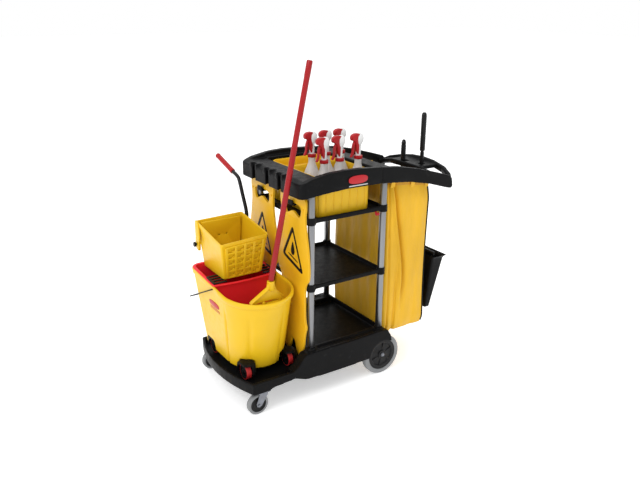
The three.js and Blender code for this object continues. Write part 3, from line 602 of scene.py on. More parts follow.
def ribbed_bin(y0, y1):
    count = 420
    pts = evenly(rounded_rect(BIN_FRONT, BIN_REAR, y0, y1, BIN_CORNER), count)
    nrm = outward(pts)
    step = np.linalg.norm(np.diff(pts, axis=0), axis=1).mean()
    s = np.arange(count) * step
    pitch = count * step / round(count * step / BIN_PITCH)
    groove = np.exp(-(((s + pitch / 2) % pitch - pitch / 2) / 2.8) ** 2)
    puff = 0.5 + 0.5 * np.cos(2 * math.pi * s / pitch + math.pi)

    def relief(t, low, high, cut, swell):
        """How far in the wall lies at t up its height, with its grooves and the swell between them."""
        depth = float(smoothstep(0, 0.06, t) * (1 - smoothstep(0.93, 1, t)))
        return mix(low, high, t) + depth * (cut * groove - swell * puff)

    rings = [level_ring(pts, nrm, 14, 848.5), level_ring(pts, nrm, 7, 849.2), level_ring(pts, nrm, 5, 853)]
    for k in range(14):
        t = k / 13
        rings.append(level_ring(pts, nrm, relief(t, 5, 3, 3.4, 1.6), mix(860, 1016, t)))
    rim = [(3, 1020), (0.4, 1021.5), (0, 1024), (0, 1031), (1, 1033.4), (2.4, 1034), (4.4, 1033.6),
           (5.6, 1031),
           (6.4, 1016)]
    rings += [level_ring(pts, nrm, i, z) for i, z in rim]
    for k in range(10):
        t = 1 - k / 9
        rings.append(level_ring(pts, nrm, relief(t, 8.4, 6.4, 3.0, 1.4), mix(862, 1012, t)))
    rings += [level_ring(pts, nrm, 10, 855), level_ring(pts, nrm, 16, 852.4)]
    return Shape().skin(rings)


for tag, y0, y1 in (("near", -205, 46), ("far", 54, 205)):
    piece(f"bin_shell_{tag}", ribbed_bin(y0, y1), "yellow", f"bin_body_{tag}",
          [f"bin_{tag}"])

BOTTLES = [(-75, -156), (8, -156), (109, -156), (-51, -20), (29.5, -20), (110, -20)]
BOTTLE_Z = 852.6
for i, (x, y) in enumerate(BOTTLES, 1):
    body, at = f"bottle_{i}", (x, y, BOTTLE_Z)
    profile = [(3, 2.5), (28, 0.8), (33, 0.4), (35.8, 3), (36.4, 8), (36.4, 60), (35.6, 66), (35.6, 118),
            (36.4, 124),
               (36.4, 142), (35, 152), (31.5, 163), (26.5, 175), (21.5, 187), (17.8, 198), (16.2, 206),
               (16, 214),
               (16, 232), (4, 232)]
    piece(f"bottle_body_{i}", Shape().lathe(profile, at=at, seg=56), "bottle", body,
          [f"spray_bottle_{i}"])
    collar = []
    for k in range(72):
        a, r = 2 * math.pi * k / 72, 18.9 if k % 2 else 19.6
        collar.append((r * math.cos(a), r * math.sin(a)))
    ring = plate(collar, [], 15, 0.8, lambda u, v, w: (x + u, y + v, BOTTLE_Z + 229 + w))
    piece(f"bottle_collar_{i}", ring, "red", body)
    head = [(4, 244), (12, 244), (12.6, 262), (12.6, 286), (14, 294), (17, 302), (19.4, 311), (20.2, 320),
            (19, 330),
            (15, 338), (8, 343.4), (1, 344.8)]
    dome = Shape().lathe(head, at=(x, y, BOTTLE_Z), seg=40)
    dome.moved(lambda a, b, c: (a + 5.5 * float(smoothstep(286, 316, c - BOTTLE_Z)), y + (b - y) * 0.86, c))
    piece(f"bottle_head_{i}", dome, "white", body)
    spine = [(4, 344), (-25, 344), (-35, 338), (-41, 333), (-41, 317), (-34, 312), (-24, 310), (-19, 296),
            (-14, 268),
             (-10, 250), (-2, 250), (0, 300), (4, 318)]
    red = plate(chaikin(spine, 2), [], 23, 3.0, lambda u, v, w: (x + u, y - 11.5 + w, BOTTLE_Z + v))
    red.lathe([(2.4, -42.6), (6.4, -42.6), (8.2, -41), (8.8, -36), (7, -34)], "x", (x, y, BOTTLE_Z + 325), 12)
    piece(f"bottle_nozzle_{i}", red, "red", body)
    lever = [(-15, 309), (-24, 310), (-31, 296), (-34, 280), (-33, 262), (-37, 250), (-44, 240), (-39, 236.5),
             (-31, 246), (-26, 260), (-26, 280), (-22, 296)]
    trig = plate(chaikin(lever, 2), [], 14, 1.8, lambda u, v, w: (x + u, y - 7 + w, BOTTLE_Z + v))
    piece(f"bottle_trigger_{i}", trig, "red", f"bottle_trigger_{i}", [f"trigger_{i}"])

# ---- Waste bag --------------------------------------------------------------------------------
BAG_N = 460
BAG_FRONT, BAG_REAR, BAG_Y, BAG_BASE, BAG_CORNER = 242, 518, 210, 186, 24
bag_pts = evenly(rounded_rect(BAG_FRONT, BAG_REAR, -BAG_Y, BAG_Y, BAG_CORNER), BAG_N)
bag_nrm = outward(bag_pts)


def bag_folds(z):
    """Outward shift of the cloth round its girth at a height: deep upright folds and a soft belly."""
    x, y = bag_pts[:, 0], bag_pts[:, 1]
    t = (z - 185) / 800
    near = smoothstep(-190, -205, y)
    crease = 290 + 68 * float(smoothstep(0.98, 0.3, t))
    deep = 34 * float(smoothstep(0.1, 0.42, t))
    over = np.where(x > crease, 15, 5)
    fold = -deep * np.exp(-((x - crease) / over) ** 2)
    fold += 0.36 * deep * np.exp(-((x - crease + 13) / 7) ** 2)
    low = 318 + 24 * t
    fold -= 11 * float(smoothstep(0.5, 0.25, t)) * np.exp(-((x - low) / np.where(x > low, 5, 14)) ** 2)
    second = 266 + 9 * math.sin(3.1 * t + 1)
    fold -= 10 * np.exp(-((x - second) / 5) ** 2)
    third = 430 + 45 * t
    fold -= 4.5 * np.exp(-((x - third) / 20) ** 2) * float(smoothstep(0.6, 0.1, t))
    fold += 1.4 * np.sin((x - 242) / 23 + 4 * t) * math.sin(math.pi * t)
    out = near * fold
    front = smoothstep(256, 243, x)
    ripple = 3.2 * np.sin(y / 23 + 2.2 * t) + 2.2 * np.sin(y / 11 - 3 * t) + 2 * math.sin(6 * t)
    out += front * ripple * math.sin(math.pi * t)
    rear = smoothstep(504, 517, x)
    out += rear * (4 * np.sin(y / 31 - 2.6 * t) + 2.4 * np.sin(y / 13 + 5 * t)) * math.sin(math.pi * t)
    far = smoothstep(190, 205, y)
    out += far * (5 * np.sin((x - 242) / 17 + 3 * t) - 6 * np.exp(-((x - 330 - 40 * t) / 9) ** 2))
    waist = smoothstep(455, 512, x) * 12 * math.sin(math.pi * min(1, max(0, t)))
    belly = 3.5 * math.sin(math.pi * min(1, t * 1.05)) - 4 * float(smoothstep(0.06, 0, t))
    return out + belly - waist


def bag_top(x):
    return 978 - 0.13 * (x - BAG_FRONT)


def bag_ring(t, inset):
    z = mix(BAG_BASE, bag_top(bag_pts[:, 0]), t)
    pinch = 13 * float(smoothstep(0.86, 1.0, t))
    shift = bag_folds(mix(BAG_BASE, 960, t)) - inset - pinch - 5 * float(smoothstep(0.04, 0, t))
    hem = 2.0 * np.sin(np.arange(BAG_N) * 2 * math.pi * 9 / BAG_N) * float(smoothstep(0.9, 1, t))
    return level_ring(bag_pts, bag_nrm, -shift, z + hem)


levels = [0.0, 0.006, 0.015, 0.03, 0.05, 0.075, 0.1, 0.13] + [0.16 + 0.025 * k for k in range(33)] + [0.985,
        1.0]
outside = [bag_ring(t, 0) for t in levels]
inside = [bag_ring(t, 1.6) for t in reversed(levels[1:])]
middle = np.mean([p[:2] for p in outside[0]], axis=0)


def shrunk(ring, k, z):
    return [(mix(middle[0], p[0], k), mix(middle[1], p[1], k), z) for p in ring]


rings = [shrunk(outside[0], k, BAG_BASE + 3 * (1 - k)) for k in (0.04, 0.4, 0.75)] + outside + inside
rings += [shrunk(outside[0], k, BAG_BASE + 2 + 3 * (1 - k)) for k in (0.97, 0.75, 0.4, 0.04)]
bag = piece("bag_cloth", Shape().skin(rings), "cloth", "cart", ["bag"], sharp=70)


def bag_point(index, t, lift):
    return bag_ring(t, -lift)[index % BAG_N]


def bag_index(x, y):
    return int(np.argmin(np.hypot(bag_pts[:, 0] - x, bag_pts[:, 1] - y)))


hem_path = ((0.962, 0.2), (0.962, 1.6), (0.97, 2.2), (0.992, 2.2), (0.999, 1.4), (0.999, 0.2))
hem = [bag_ring(t, -lift) for t, lift in hem_path]
# The hem takes the darker brown finish, painted shade at the top of the bag.
hem_piece = piece("bag_hem", Shape().skin(hem, loop=True), "hem", "cart", sharp=70)
near_rear = bag_index(507, -206)
cord = Shape().tube([bag_point(near_rear, t, 1.6) for t in [0.01 + 0.0245 * k for k in range(41)]], 4.6, 12)
piping_piece = piece("bag_piping", cord, "piping", "cart")
loops = Shape()
for side, x in ((side, x) for side in (-1, 1) for x in (275, 400, 490)):
    k = bag_index(x, side * BAG_Y)
    a = Vector(bag_point(k, 0.95, 1.2))
    b = Vector((x, side * 246, bag_top(x) + 2))
    strap = [a, a + Vector((0, side * 8, 26)), Vector((x, mix(a.y, b.y, 0.6), b.z - 6)), b]
    path = curve_through(strap, 5)
    sections = [[(p.x - 12, p.y, p.z + 0.7), (p.x + 12, p.y, p.z + 0.7),
            (p.x + 12, p.y + side * 0.2, p.z - 0.7),
                 (p.x - 12, p.y + side * 0.2, p.z - 0.7)] for p in path]
    loops.skin(sections)
loop_piece = piece("bag_loops", loops, "cloth", "cart")

# ---- Floor signs ------------------------------------------------------------------------------
SIGN_X, SIGN_T = -218, 4.8
edge = [(44, 158), (88, 225), (98, 312), (115, 352), (98, 378), (98, 523), (106, 562), (138, 592), (126, 720),
        (108, 800), (98, 870), (107, 920), (104, 947), (94, 955)]
sign_outline = chaikin([(0, 290)] + edge + [(-a, b) for a, b in reversed(edge)], 2)
sign_hole = chaikin([(-62, 918.3), (-70, 890), (-58, 858), (-36, 866), (0, 884), (36, 866), (58, 858),
        (70, 890),
                     (62, 918.3)], 2)


def triangle(cy, scale, r, n=6):
    """A rounded triangle outline, point up and a little askew."""
    middle = (cy, 688)
    tips = [tuple(mix(m, p, scale) for m, p in zip(middle, tip)) for tip in
            ((cy - 90, 600), (cy + 92, 654), (cy + 1, 815))]
    out = []
    for k, tip in enumerate(tips):
        a, b = Vector(tips[k - 1]), Vector(tips[(k + 1) % 3])
        t = Vector(tip)
        u, v = (a - t).normalized(), (b - t).normalized()
        for j in range(n + 1):
            s = j / n
            p = (t + u * r) * (1 - s) ** 2 + t * 2 * s * (1 - s) + (t + v * r) * s ** 2
            out.append((p.x, p.y))
    return out


for tag, cy in (("near", -125), ("far", 152)):
    for face, x in (("front", SIGN_X), ("back", SIGN_X + SIGN_T + 1)):
        panel = plate([(cy + a, b) for a, b in sign_outline], [[(cy + a, b) for a, b in sign_hole]], SIGN_T,
                1.4, on_x(x))
        piece(f"sign_panel_{tag}_{face}", panel, "sign", f"sign_{tag}", [f"sign_{tag}_{face}"])
        place = on_x(x - 0.5 if face == "front" else x + SIGN_T - 0.1)
        mark = plate(triangle(cy, 1.0, 26), [triangle(cy, 0.74, 10)], 0.6, 0.15, place)
        drop = [(cy, 742), (cy + 11, 712), (cy + 17, 692), (cy + 12, 676), (cy, 670), (cy - 12, 676),
                (cy - 17, 692),
                (cy - 11, 712)]
        mark.join(plate(chaikin(drop, 2), [], 0.6, 0.15, place))
        pool = [(cy - 42, 645), (cy + 40, 669), (cy + 38, 676), (cy - 44, 652)]
        mark.join(plate(chaikin(pool, 1), [], 0.6, 0.15, place))
        piece(f"sign_mark_{tag}_{face}", mark, "ink", f"sign_{tag}")
    pins = Shape()
    for side in (-1, 1):
        pins.lathe([(0.8, -4), (4, -4), (4.8, -3), (4.8, 13), (4, 14), (0.8, 14)], "x",
                   (SIGN_X, cy + side * 88, 905), 20)
    piece(f"sign_pins_{tag}", pins, "sign", f"sign_{tag}")

# ---- Mop bucket -------------------------------------------------------------------------------
BUCKET_BASE, RIM_LOW, RIM_HIGH, RIM_NEAR, RIM_FAR = 172, 530, 570, -265, 240
CASTER_HUB = 178.3  # height of the bucket casters' axles
BAIL_Y, BAIL_Z = -4, 538


def rim_height(y):
    return mix(RIM_LOW, RIM_HIGH, (y - RIM_NEAR) / (RIM_FAR - RIM_NEAR))


def bucket_outline(t):
    front, rear = mix(-512, -562, t), mix(-238, -230, t)
    near, far = mix(-166, -265, t), mix(214, 240, t)
    r, half, pts = 34, (rear - front) / 2, []
    cx, cy = front + half, near + half

    def arc(x, y, radius, a0, a1, n):
        for k in range(n):
            a = math.radians(mix(a0, a1, k / n))
            pts.append((x + radius * math.cos(a), y + radius * math.sin(a)))

    def side(x0, y0, x1, y1, n):
        for k in range(n):
            pts.append((mix(x0, x1, k / n), mix(y0, y1, k / n)))

    arc(cx, cy, half, 180, 360, 144)
    side(rear, cy, rear, far - r, 40)
    arc(rear - r, far - r, r, 0, 90, 16)
    side(rear - r, far, front + r, far, 36)
    arc(front + r, far - r, r, 90, 180, 16)
    side(front, far - r, front, cy, 40)
    return np.array(pts)


FLUTES = [(183, 9.0, 2.4), (233, 6.0, 4.5), (295, 5.0, 5.0), (340, 4.0, 5.0)]


def bucket_ring(t, inset, lift=0.0, flute=0.0):
    pts = bucket_outline(t)
    nrm = outward(pts)
    z = BUCKET_BASE + (rim_height(pts[:, 1]) - BUCKET_BASE) * t + lift
    dent = np.zeros(len(pts))
    for angle, depth, width in FLUTES:
        k = (angle - 180) / 180 * 144
        dent += depth * np.exp(-((np.arange(len(pts)) - k) / (width * 0.8)) ** 2)
    proud = 1 - 0.6 * smoothstep(-70, -35, pts[:, 1]) + 1.6 * np.clip(nrm[:, 1], 0, 1) ** 4
    return level_ring(pts, nrm, (inset if inset > 0 else inset * proud) + flute * dent, z)


def flute_at(t):
    return float(smoothstep(0.88, 0.55, t)) * 0.9 + 0.1 * float(smoothstep(0.93, 0.8, t))


rings = [bucket_ring(0, 12, 0, flute_at(0)), bucket_ring(0, 4, 0.4, flute_at(0)),
        bucket_ring(0.004, 1.2, 0.6, flute_at(0)),
         bucket_ring(0.012, 0, 0, flute_at(0))]
rings += [bucket_ring(t, 3 * t, 0, flute_at(t)) for t in run(0.03, 0.9, 30)]
roll = [(0.932, 2.6, 0), (0.934, -1.0, 0), (0.938, -3.4, 0), (0.946, -4.8, 0), (0.965, -5.4, 0),
        (0.984, -5.0, 0),
        (0.994, -3.8, 0), (1.0, -1.6, 0.4), (1.0, 2, 1.4), (1.0, 6, 1.0), (0.993, 8.6, 0), (0.98, 9.6, 0)]
rings += [bucket_ring(t, i, lift) for t, i, lift in roll]
rings += [bucket_ring(t, 5 + 3.4 * t, 0, flute_at(t)) for t in run(0.93, -0.88, 24)]
rings += [bucket_ring(0.03, 9, 0, 1), bucket_ring(0.02, 20, 0, 1)]
CASTERS = [("front_near", -487, -158), ("front_far", -492, 140), ("rear_near", -266, -150),
        ("rear_far", -266, 140)]
shell = Shape().skin(rings).clean()
tools = [Shape().lathe([(47.5, 150), (47.5, 214), (44, 222), (36, 226.3)], at=(x, y, 0), seg=48) for _, x,
        y in CASTERS]
tools += [Shape().lathe([(3.1, -620), (3.1, -180)], "x", (0, BAIL_Y, BAIL_Z), 16)]
bucket = cutaway(shell, *tools)
piece("bucket_shell", bucket, "bucket", "bucket", ["bucket_body"], sharp=42)
domes = Shape()
for _, x, y in CASTERS:
    domes.lathe([(51.5, 176), (52, 200), (52, 216), (49, 226), (40, 231.4), (0.4, 232.4), (0.4, 227),
            (36, 226.8), (45, 222),
                 (48, 214), (48, 176)], at=(x, y, 0), seg=48, loop=True)
inner = [bucket_ring(t, 2 + 3 * t, 0) for t in (0.0, 0.05, 0.1, 0.15, 0.2)]
o = temp_object(domes.clean())
b = temp_object(Shape().skin(inner).clean())
m = o.modifiers.new("keep", "BOOLEAN")
m.operation, m.solver, m.object = "INTERSECT", "EXACT", b
piece("bucket_wells", result(o, b), "bucket", "bucket")


def on_bucket_side(u, v, w):
    y, z = 19 - u, 450 + v
    along = (z - BUCKET_BASE) / (rim_height(y) - BUCKET_BASE)
    return (-512 - 47 * along + 0.6 - w, y, z)


piece("bucket_badge", plate(oval(0, 3, 52, 15), [], 2.0, 0.5, on_bucket_side), "badge", "bucket")
lines = plate(rounded_rect(-50, 50, -21, -17, 1.2, 3), [], 1.4, 0.3, on_bucket_side)
lines.join(plate(rounded_rect(-50, 50, -29, -26, 1, 3), [], 1.4, 0.3, on_bucket_side))
piece("bucket_badge_lines", lines, "badge", "bucket")

for tag, x, y in CASTERS:
    at = (x, y, CASTER_HUB)
    dome = [(2, 226), (22, 225.6), (32, 223.4), (39, 219), (43.4, 212), (45.4, 203), (46, 192), (46, 166),
            (44, 164)]
    fender = Shape().lathe(dome + [(42, 164), (2, 164)], at=(x, y, 0), seg=56)
    room = Shape().lathe([(0.5, -13.6), (39.6, -13.6), (39.6, 13.6), (0.5, 13.6)], "x", at, 56)
    mouth = Shape().block(x - 70, x + 13.6, y - 70, y + 8, 100, 217.4, 3)
    face = Shape().block(x - 84, x - 24.3, y - 83, y + 85, 131, 243, 0)
    side = Shape().lathe([(0.5, -80), (37, -80), (37, -10), (0.5, -10)], "x", at, 56)
    hood = cutaway(fender.clean(), room, mouth, side,
            Shape().block(x - 60, x + 60, y - 60, y + 60, 140, 172, 0))
    hood = cutaway(hood.clean(), face)
    hood.lathe([(0.5, 15), (4, 15), (4, -16.6), (0.5, -16.6)], "x", at, 20)
    hood.lathe([(0.8, -14), (7.4, -14), (8.6, -15.2), (8.6, -17.2), (7, -18.6), (0.8, -18.6)], "x", at, 24)
    piece(f"caster_hood_{tag}", hood, "black", f"bucket_swivel_{tag}", [f"bucket_hood_{tag}"])
    red = Shape().lathe(tyre_profile(29, 38, 12, 4), "x", at, 64, True)
    piece(f"caster_red_{tag}", red, "wheel_red", f"bucket_roller_{tag}", [f"bucket_wheel_{tag}"])
    core = [(4.6, 12.6), (10, 12.6), (11.4, 11), (14, 10.2), (22, 10.2), (24, 11.8), (32.6, 12.2),
            (33.4, 11.4)]
    core = Shape().lathe(mirrored(core), "x", at, 56, True)
    piece(f"caster_drum_{tag}", core, "black", f"bucket_roller_{tag}")


INSERT_BASE = 246


def insert_outline(t):
    front, rear = mix(-508, -551, t), mix(-248, -241, t)
    near, far = mix(8, -18, t), mix(204, 229, t)
    shape = []
    for k in range(24):
        s = k / 24
        q = np.array([front, near + 12]) * (1 - s) ** 2 + np.array([(front + rear) / 2,
                near - 14]) * 2 * s * (1 - s)
        shape.append(tuple(q + np.array([rear, near + 12]) * s * s))
    for cx, cy, a0 in ((rear - 30, far - 30, 0), (front + 30, far - 30, 90)):
        for k in range(13):
            a = math.radians(a0 + 90 * k / 12)
            shape.append((cx + 30 * math.cos(a), cy + 30 * math.sin(a)))
    return evenly(shape, 300)


def insert_ring(t, inset, lift=0.0):
    pts = insert_outline(t)
    z = mix(INSERT_BASE, rim_height(pts[:, 1]) + 1.5, t) + lift
    return level_ring(pts, outward(pts), inset, z)


rings = [insert_ring(0, 10), insert_ring(0, 2, 0.5), insert_ring(0.01, 0)]
rings += [insert_ring(t, 0) for t in run(0.05, 0.9, 16)]
rings += [insert_ring(0.985, -0.2), insert_ring(1, -1.0, 0.2), insert_ring(1, -10.5, 0.4),
        insert_ring(1, -11.6, 1.6),
          insert_ring(1, -11.4, 4.4), insert_ring(1, -9.5, 5.8), insert_ring(1, 0, 6.0),
          insert_ring(1, 3, 4.6),
          insert_ring(0.985, 4)]
rings += [insert_ring(t, 4) for t in run(0.95, -0.9, 12)]
rings += [insert_ring(0.02, 6, 2), insert_ring(0.02, 14, 0)]
# The insert takes the brightened red, painted light on its shaded wall.
piece("insert_shell", Shape().skin(rings), "insert_red", "bucket", ["bucket_insert"])

down = Vector((0, 266, -133)).normalized()


def bail_spot(x, d):
    return Vector((x, BAIL_Y, BAIL_Z)) + down * d


length = math.hypot(266, 133)
path = [bail_spot(-550, 0), bail_spot(-562, 0), bail_spot(-566.5, 5)]
path += [bail_spot(-566.5, length * k) for k in (0.3, 0.6, 0.9)] + [bail_spot(-563, length - 4),
        bail_spot(-552, length)]
path += [bail_spot(-470, length), bail_spot(-395, length), bail_spot(-320, length)]
mirror = [bail_spot(-791 - p.x, (p - Vector((p.x, BAIL_Y, BAIL_Z))).length) for p in reversed(path[:8])]
bail = Shape().tube(curve_through(path + mirror, 6), 2.9, 12)
piece("bail", bail, "wire", "bail", ["bail_wire"])

# ---- Wringer ----------------------------------------------------------------------------------
BASKET_BASE, SHAFT_Y, SHAFT_Z = 562, 246, 668


def basket_point(t):
    return mix(-496, -525, t), mix(-300, -290, t), mix(15, -30, t), 228


def basket_rim(y):
    return 746 + 44 * (y + 30) / 258


def basket_ring(t, inset, lift=0.0, band=0.0):
    x0, x1, y0, y1 = basket_point(t)
    pts = evenly(rounded_rect(x0, x1, y0, y1, 9), 280)
    tilt = (pts[:, 0] + 525) / 235 * mix(13, 6, (pts[:, 1] + 30) / 258)
    z = BASKET_BASE + (basket_rim(pts[:, 1]) + tilt - BASKET_BASE) * t + lift
    return level_ring(pts, outward(pts), inset - band, z)


rings = [basket_ring(0, 8), basket_ring(0, 1.5, 0.4), basket_ring(0.01, 0)]
rings += [basket_ring(t, 0) for t in run(0.05, 0.84, 10)]
rings += [basket_ring(0.895, 0), basket_ring(0.9, -2.2), basket_ring(0.985, -2.4), basket_ring(0.998, -1.4),
        basket_ring(1, 0),
          basket_ring(1, 2.2), basket_ring(0.99, 4)]
rings += [basket_ring(t, 4) for t in run(0.93, -0.88, 8)]
rings += [basket_ring(0.02, 5), basket_ring(0.02, 14)]
basket = Shape().skin(rings)


def near_wall(s, t, off):
    """A point on the basket's near wall: s runs across from -X, t up, off outwards."""
    x0, x1, y0, _ = basket_point(t)
    return (mix(x0, x1, s), y0 - off, BASKET_BASE + (basket_rim(y0) + 13 * s - BASKET_BASE) * t)


def wall_bar(s0, s1, t0, t1, off=8.0):
    corners = []
    for o_ in (-1.0, off):
        corners += [near_wall(s0, t0, o_), near_wall(s1, t0, o_), near_wall(s1, t1, o_),
                near_wall(s0, t1, o_)]
    return Shape(corners, [(3, 2, 1, 0), (4, 5, 6, 7), (0, 1, 5, 4), (1, 2, 6, 5), (2, 3, 7, 6),
            (3, 0, 4, 7)])


ribs = Shape()
for k in range(5):
    s = 0.1 + 0.2 * k
    ribs.join(wall_bar(s - 0.028, s + 0.028, 0.03, 0.9))
for k in range(6):
    t = 0.05 + 0.165 * k
    ribs.join(wall_bar(0.08, 0.92, t - 0.024, t + 0.024))
for a in range(4):
    for c in range(5):
        s0, t0 = 0.1 + 0.2 * a + 0.022, 0.05 + 0.165 * c + 0.02
        ribs.join(wall_bar(s0 + 0.09, s0 + 0.156, t0, t0 + 0.045, 5.5))
        ribs.join(wall_bar(s0, s0 + 0.156, t0 + 0.085, t0 + 0.125, 3.4))
o = temp_object(ribs)
m = o.modifiers.new("round", "BEVEL")
m.width, m.segments = 0.9, 2
basket.join(result(o))
# The wing rails under the basket get the black hub finish, painted shade standing in for the shadow under the
# basket.
rails = Shape()
for x0, x1 in ((-556, -490), (-304, -236)):
    for y in (-8, 20, 48, 76):
        rails.block(x0, x1, y, y + 12, 559.2, 564.6, 1.6)
    rails.block(x0 if x0 < -500 else x1 - 12, x0 + 12 if x0 < -500 else x1, -8, 88, 559.2, 564.8, 1.6)
piece("wringer_rails", rails, "tread_black", "wringer")
for x0, x1 in ((-521, -509), (-308, -296)):
    ear = chaikin([(222, 640), (238, 640), (260, 655), (260, 684), (242, 760), (222, 760)], 2)
    basket.join(plate(ear, [], x1 - x0, 1.6, on_x(x0)))
fin = chaikin([(186, 694), (226, 690), (232, 710), (232, 788), (222, 794), (196, 786)], 1)
basket.join(plate(fin, [], 7, 1.6, on_x(-531)))
piece("wringer_shell", basket, "bucket", "wringer", ["wringer_basket"])

face = rounded_rect(-505, -303, 572, 780, 5, 4)
face = [(mix(u, -396, 0.1 * (780 - v) / 208), v) for u, v in face]
holes = [[(cx + 4.2 * math.cos(j * math.pi / 8), 706 + 4.2 * math.sin(j * math.pi / 8)) for j in range(16)]
         for cx in (-418, -380)]
piece("press_face", plate(face, holes, 8, 1.4, on_y(213)), "bucket", "press",
      ["press_plate"])

LX = -280
lever_path = curve_through([(LX, 244, 676), (LX, 212, 728), (LX, 195, 792), (LX, 231, 877), (LX, 262, 941),
                            (LX, 284, 958), (LX, 330, 970)], 10)
lever = Shape().tube(lever_path, 9, 24)
lever.lathe([(4, -10), (14.5, -10), (16, -8.5), (16, 8.5), (14.5, 10), (4, 10)], "x", (LX, SHAFT_Y, SHAFT_Z),
        40)
lever.lathe([(5.9, -528), (5.9, -286)], "x", (0, SHAFT_Y, SHAFT_Z), 24)
lever.lathe([(2, -535), (9.5, -535), (12, -533), (12, -527), (10, -525), (6, -524)], "x",
        (0, SHAFT_Y, SHAFT_Z), 32)
piece("lever_tube", lever, "tube_black", "lever", ["wringer_lever"])
start, end = Vector((LX, 326, 969)), Vector((LX, 492, 1018))
radii, spots = [], []
for k in range(101):
    t = k / 100
    spots.append(tuple(start.lerp(end, t)))
    r = 12.4 if (k % 8) < 5 else 11.2
    r *= 0.82 if k in (0, 100) else 1
    radii.append(13.0 if k in (3, 4, 5, 95, 96, 97) else r)
piece("lever_grip", Shape().tube(spots, radii, 28), "red", "lever", ["wringer_grip"])

# ---- Mop --------------------------------------------------------------------------------------
fx, fy, fz = -375, -200, 606
foot, tip = Vector((fx, fy, fz + 3)), Vector((-178, fy, 1527))
stops = [(0.0, 11.5), (0.003, 12.5), (0.5, 12.5), (0.502, 13.0), (0.512, 13.0), (0.514, 12.3), (0.93, 12.3),
         (0.932, 12.9), (0.992, 12.9), (0.998, 11.8), (1.0, 8)]
piece("mop_tube", Shape().tube([tuple(foot.lerp(tip, t)) for t, _ in stops], [r for _, r in stops], 40),
      "mop_red",
      "mop", ["mop_handle"], sharp=50)
wing = chaikin([(-14, -2), (14, -2), (18, -34), (50, -74), (52, -106), (-100, -106), (-102, -80), (-20, -34)],
        1)
jaw = chaikin([(-88, -86), (36, -86), (36, -96), (-88, -96)], 1)
clamp = plate([(fx + a, fz + b) for a, b in wing], [[(fx + a, fz + b) for a, b in jaw]], 16, 2, on_y(fy - 8))
bars = [([(-100, -106), (52, -106), (52, -99), (-100, -99)], 26),
        ([(-102, -84), (-94, -76), (-18, -30), (-22, -38)], 24),
        ([(18, -38), (14, -30), (46, -68), (52, -74)], 24)]
for pts, w in bars:
    clamp.join(plate([(fx + a, fz + b) for a, b in pts], [], w, 1.2, on_y(fy - w / 2)))
clamp.lathe([(8, -40), (15, -40), (16.5, -36), (15.6, -14), (16.8, -10), (16.8, -1.5), (15.6, 0), (8, 0)],
            at=(fx, fy, fz), seg=40)
clamp.lathe([(1, -14), (6, -14), (7, -12), (7, 12), (6, 14), (1, 14)], "y", (fx - 40, fy, fz - 92), 24)
piece("mop_gate", clamp, "bucket", "mop", ["mop_clamp"])

# ---- Dustpan and broom ------------------------------------------------------------------------
PAN_X, PAN_Y, BROOM_X, BROOM_Y = 575, -64, 538, 36


def pan_ring(t, inset, lift=0.0):
    x1 = mix(586, 632, t) if t < 0.96 else mix(632, 642, (t - 0.96) / 0.04)
    half = mix(112, 147, t) if t < 0.96 else mix(147, 156, (t - 0.96) / 0.04)
    pts = evenly(rounded_rect(554, x1, PAN_Y - half, PAN_Y + half, 8), 300)
    return level_ring(pts, outward(pts), inset, mix(240, 532, t) + lift)


rings = [pan_ring(0, 7), pan_ring(0, 1.5, 0.5), pan_ring(0.01, 0)]
rings += [pan_ring(t, 0) for t in (0.05, 0.2, 0.4, 0.41, 0.6, 0.8, 0.94, 0.965, 0.985)]
rings += [pan_ring(1, 0.2, -1), pan_ring(1, 1.4), pan_ring(1, 3, -0.8)]
rings += [pan_ring(t, 3) for t in (0.985, 0.965, 0.94, 0.8, 0.6, 0.4, 0.2, 0.05)] + [pan_ring(0.02, 6),
        pan_ring(0.02, 9)]
pan = Shape().skin(rings)
for y in (-150, -107, -64, -21, 22):
    rib = []
    for x, z in ((585, 246), (631, 516)):
        rib.append([(x + 1.5, y - 2.5, z), (x + 1.5, y + 2.5, z), (x - 4, y + 2.5, z), (x - 4, y - 2.5, z)])
    pan.skin(rib)
piece("pan_shell", pan, "black", "dustpan_tray", ["dustpan_pan"])



def grip_rings(shape, heights, r0, r1):
    for z in heights:
        shape.lathe([(r0, z - 2), (r1, z - 1), (r1, z + 1), (r0, z + 2)], at=(x, y, 0), seg=40, loop=True)


x, y = PAN_X, PAN_Y
stick = Shape().lathe([(6, 546), (10, 546), (10, 1040), (8, 1042), (8, 1049), (12, 1049), (13, 1053),
        (13, 1120), (12.2, 1126),
                       (13, 1132), (13, 1222), (11.5, 1232), (7, 1238.5), (1, 1239)], at=(x, y, 0), seg=40)
grip_rings(stick, range(1060, 1220, 12), 12.6, 13.5)
stick.lathe([(10, 960), (13.5, 960), (14, 963), (14, 977), (13.5, 980), (10, 980)], at=(x, y, 0), seg=40)
stick.block(x - 6, x + 6, y - 135, y + 135, 540, 552, 3)
for y0 in (y - 135, y + 125):
    stick.block(x - 6, x + 6, y0, y0 + 10, 514, 551, 3)
stick.lathe([(10, 548), (15, 548), (15, 566), (12, 574), (10, 576)], at=(x, y, 0), seg=36)
piece("dustpan_stick", stick, "tube_black", "dustpan", ["dustpan_handle"])

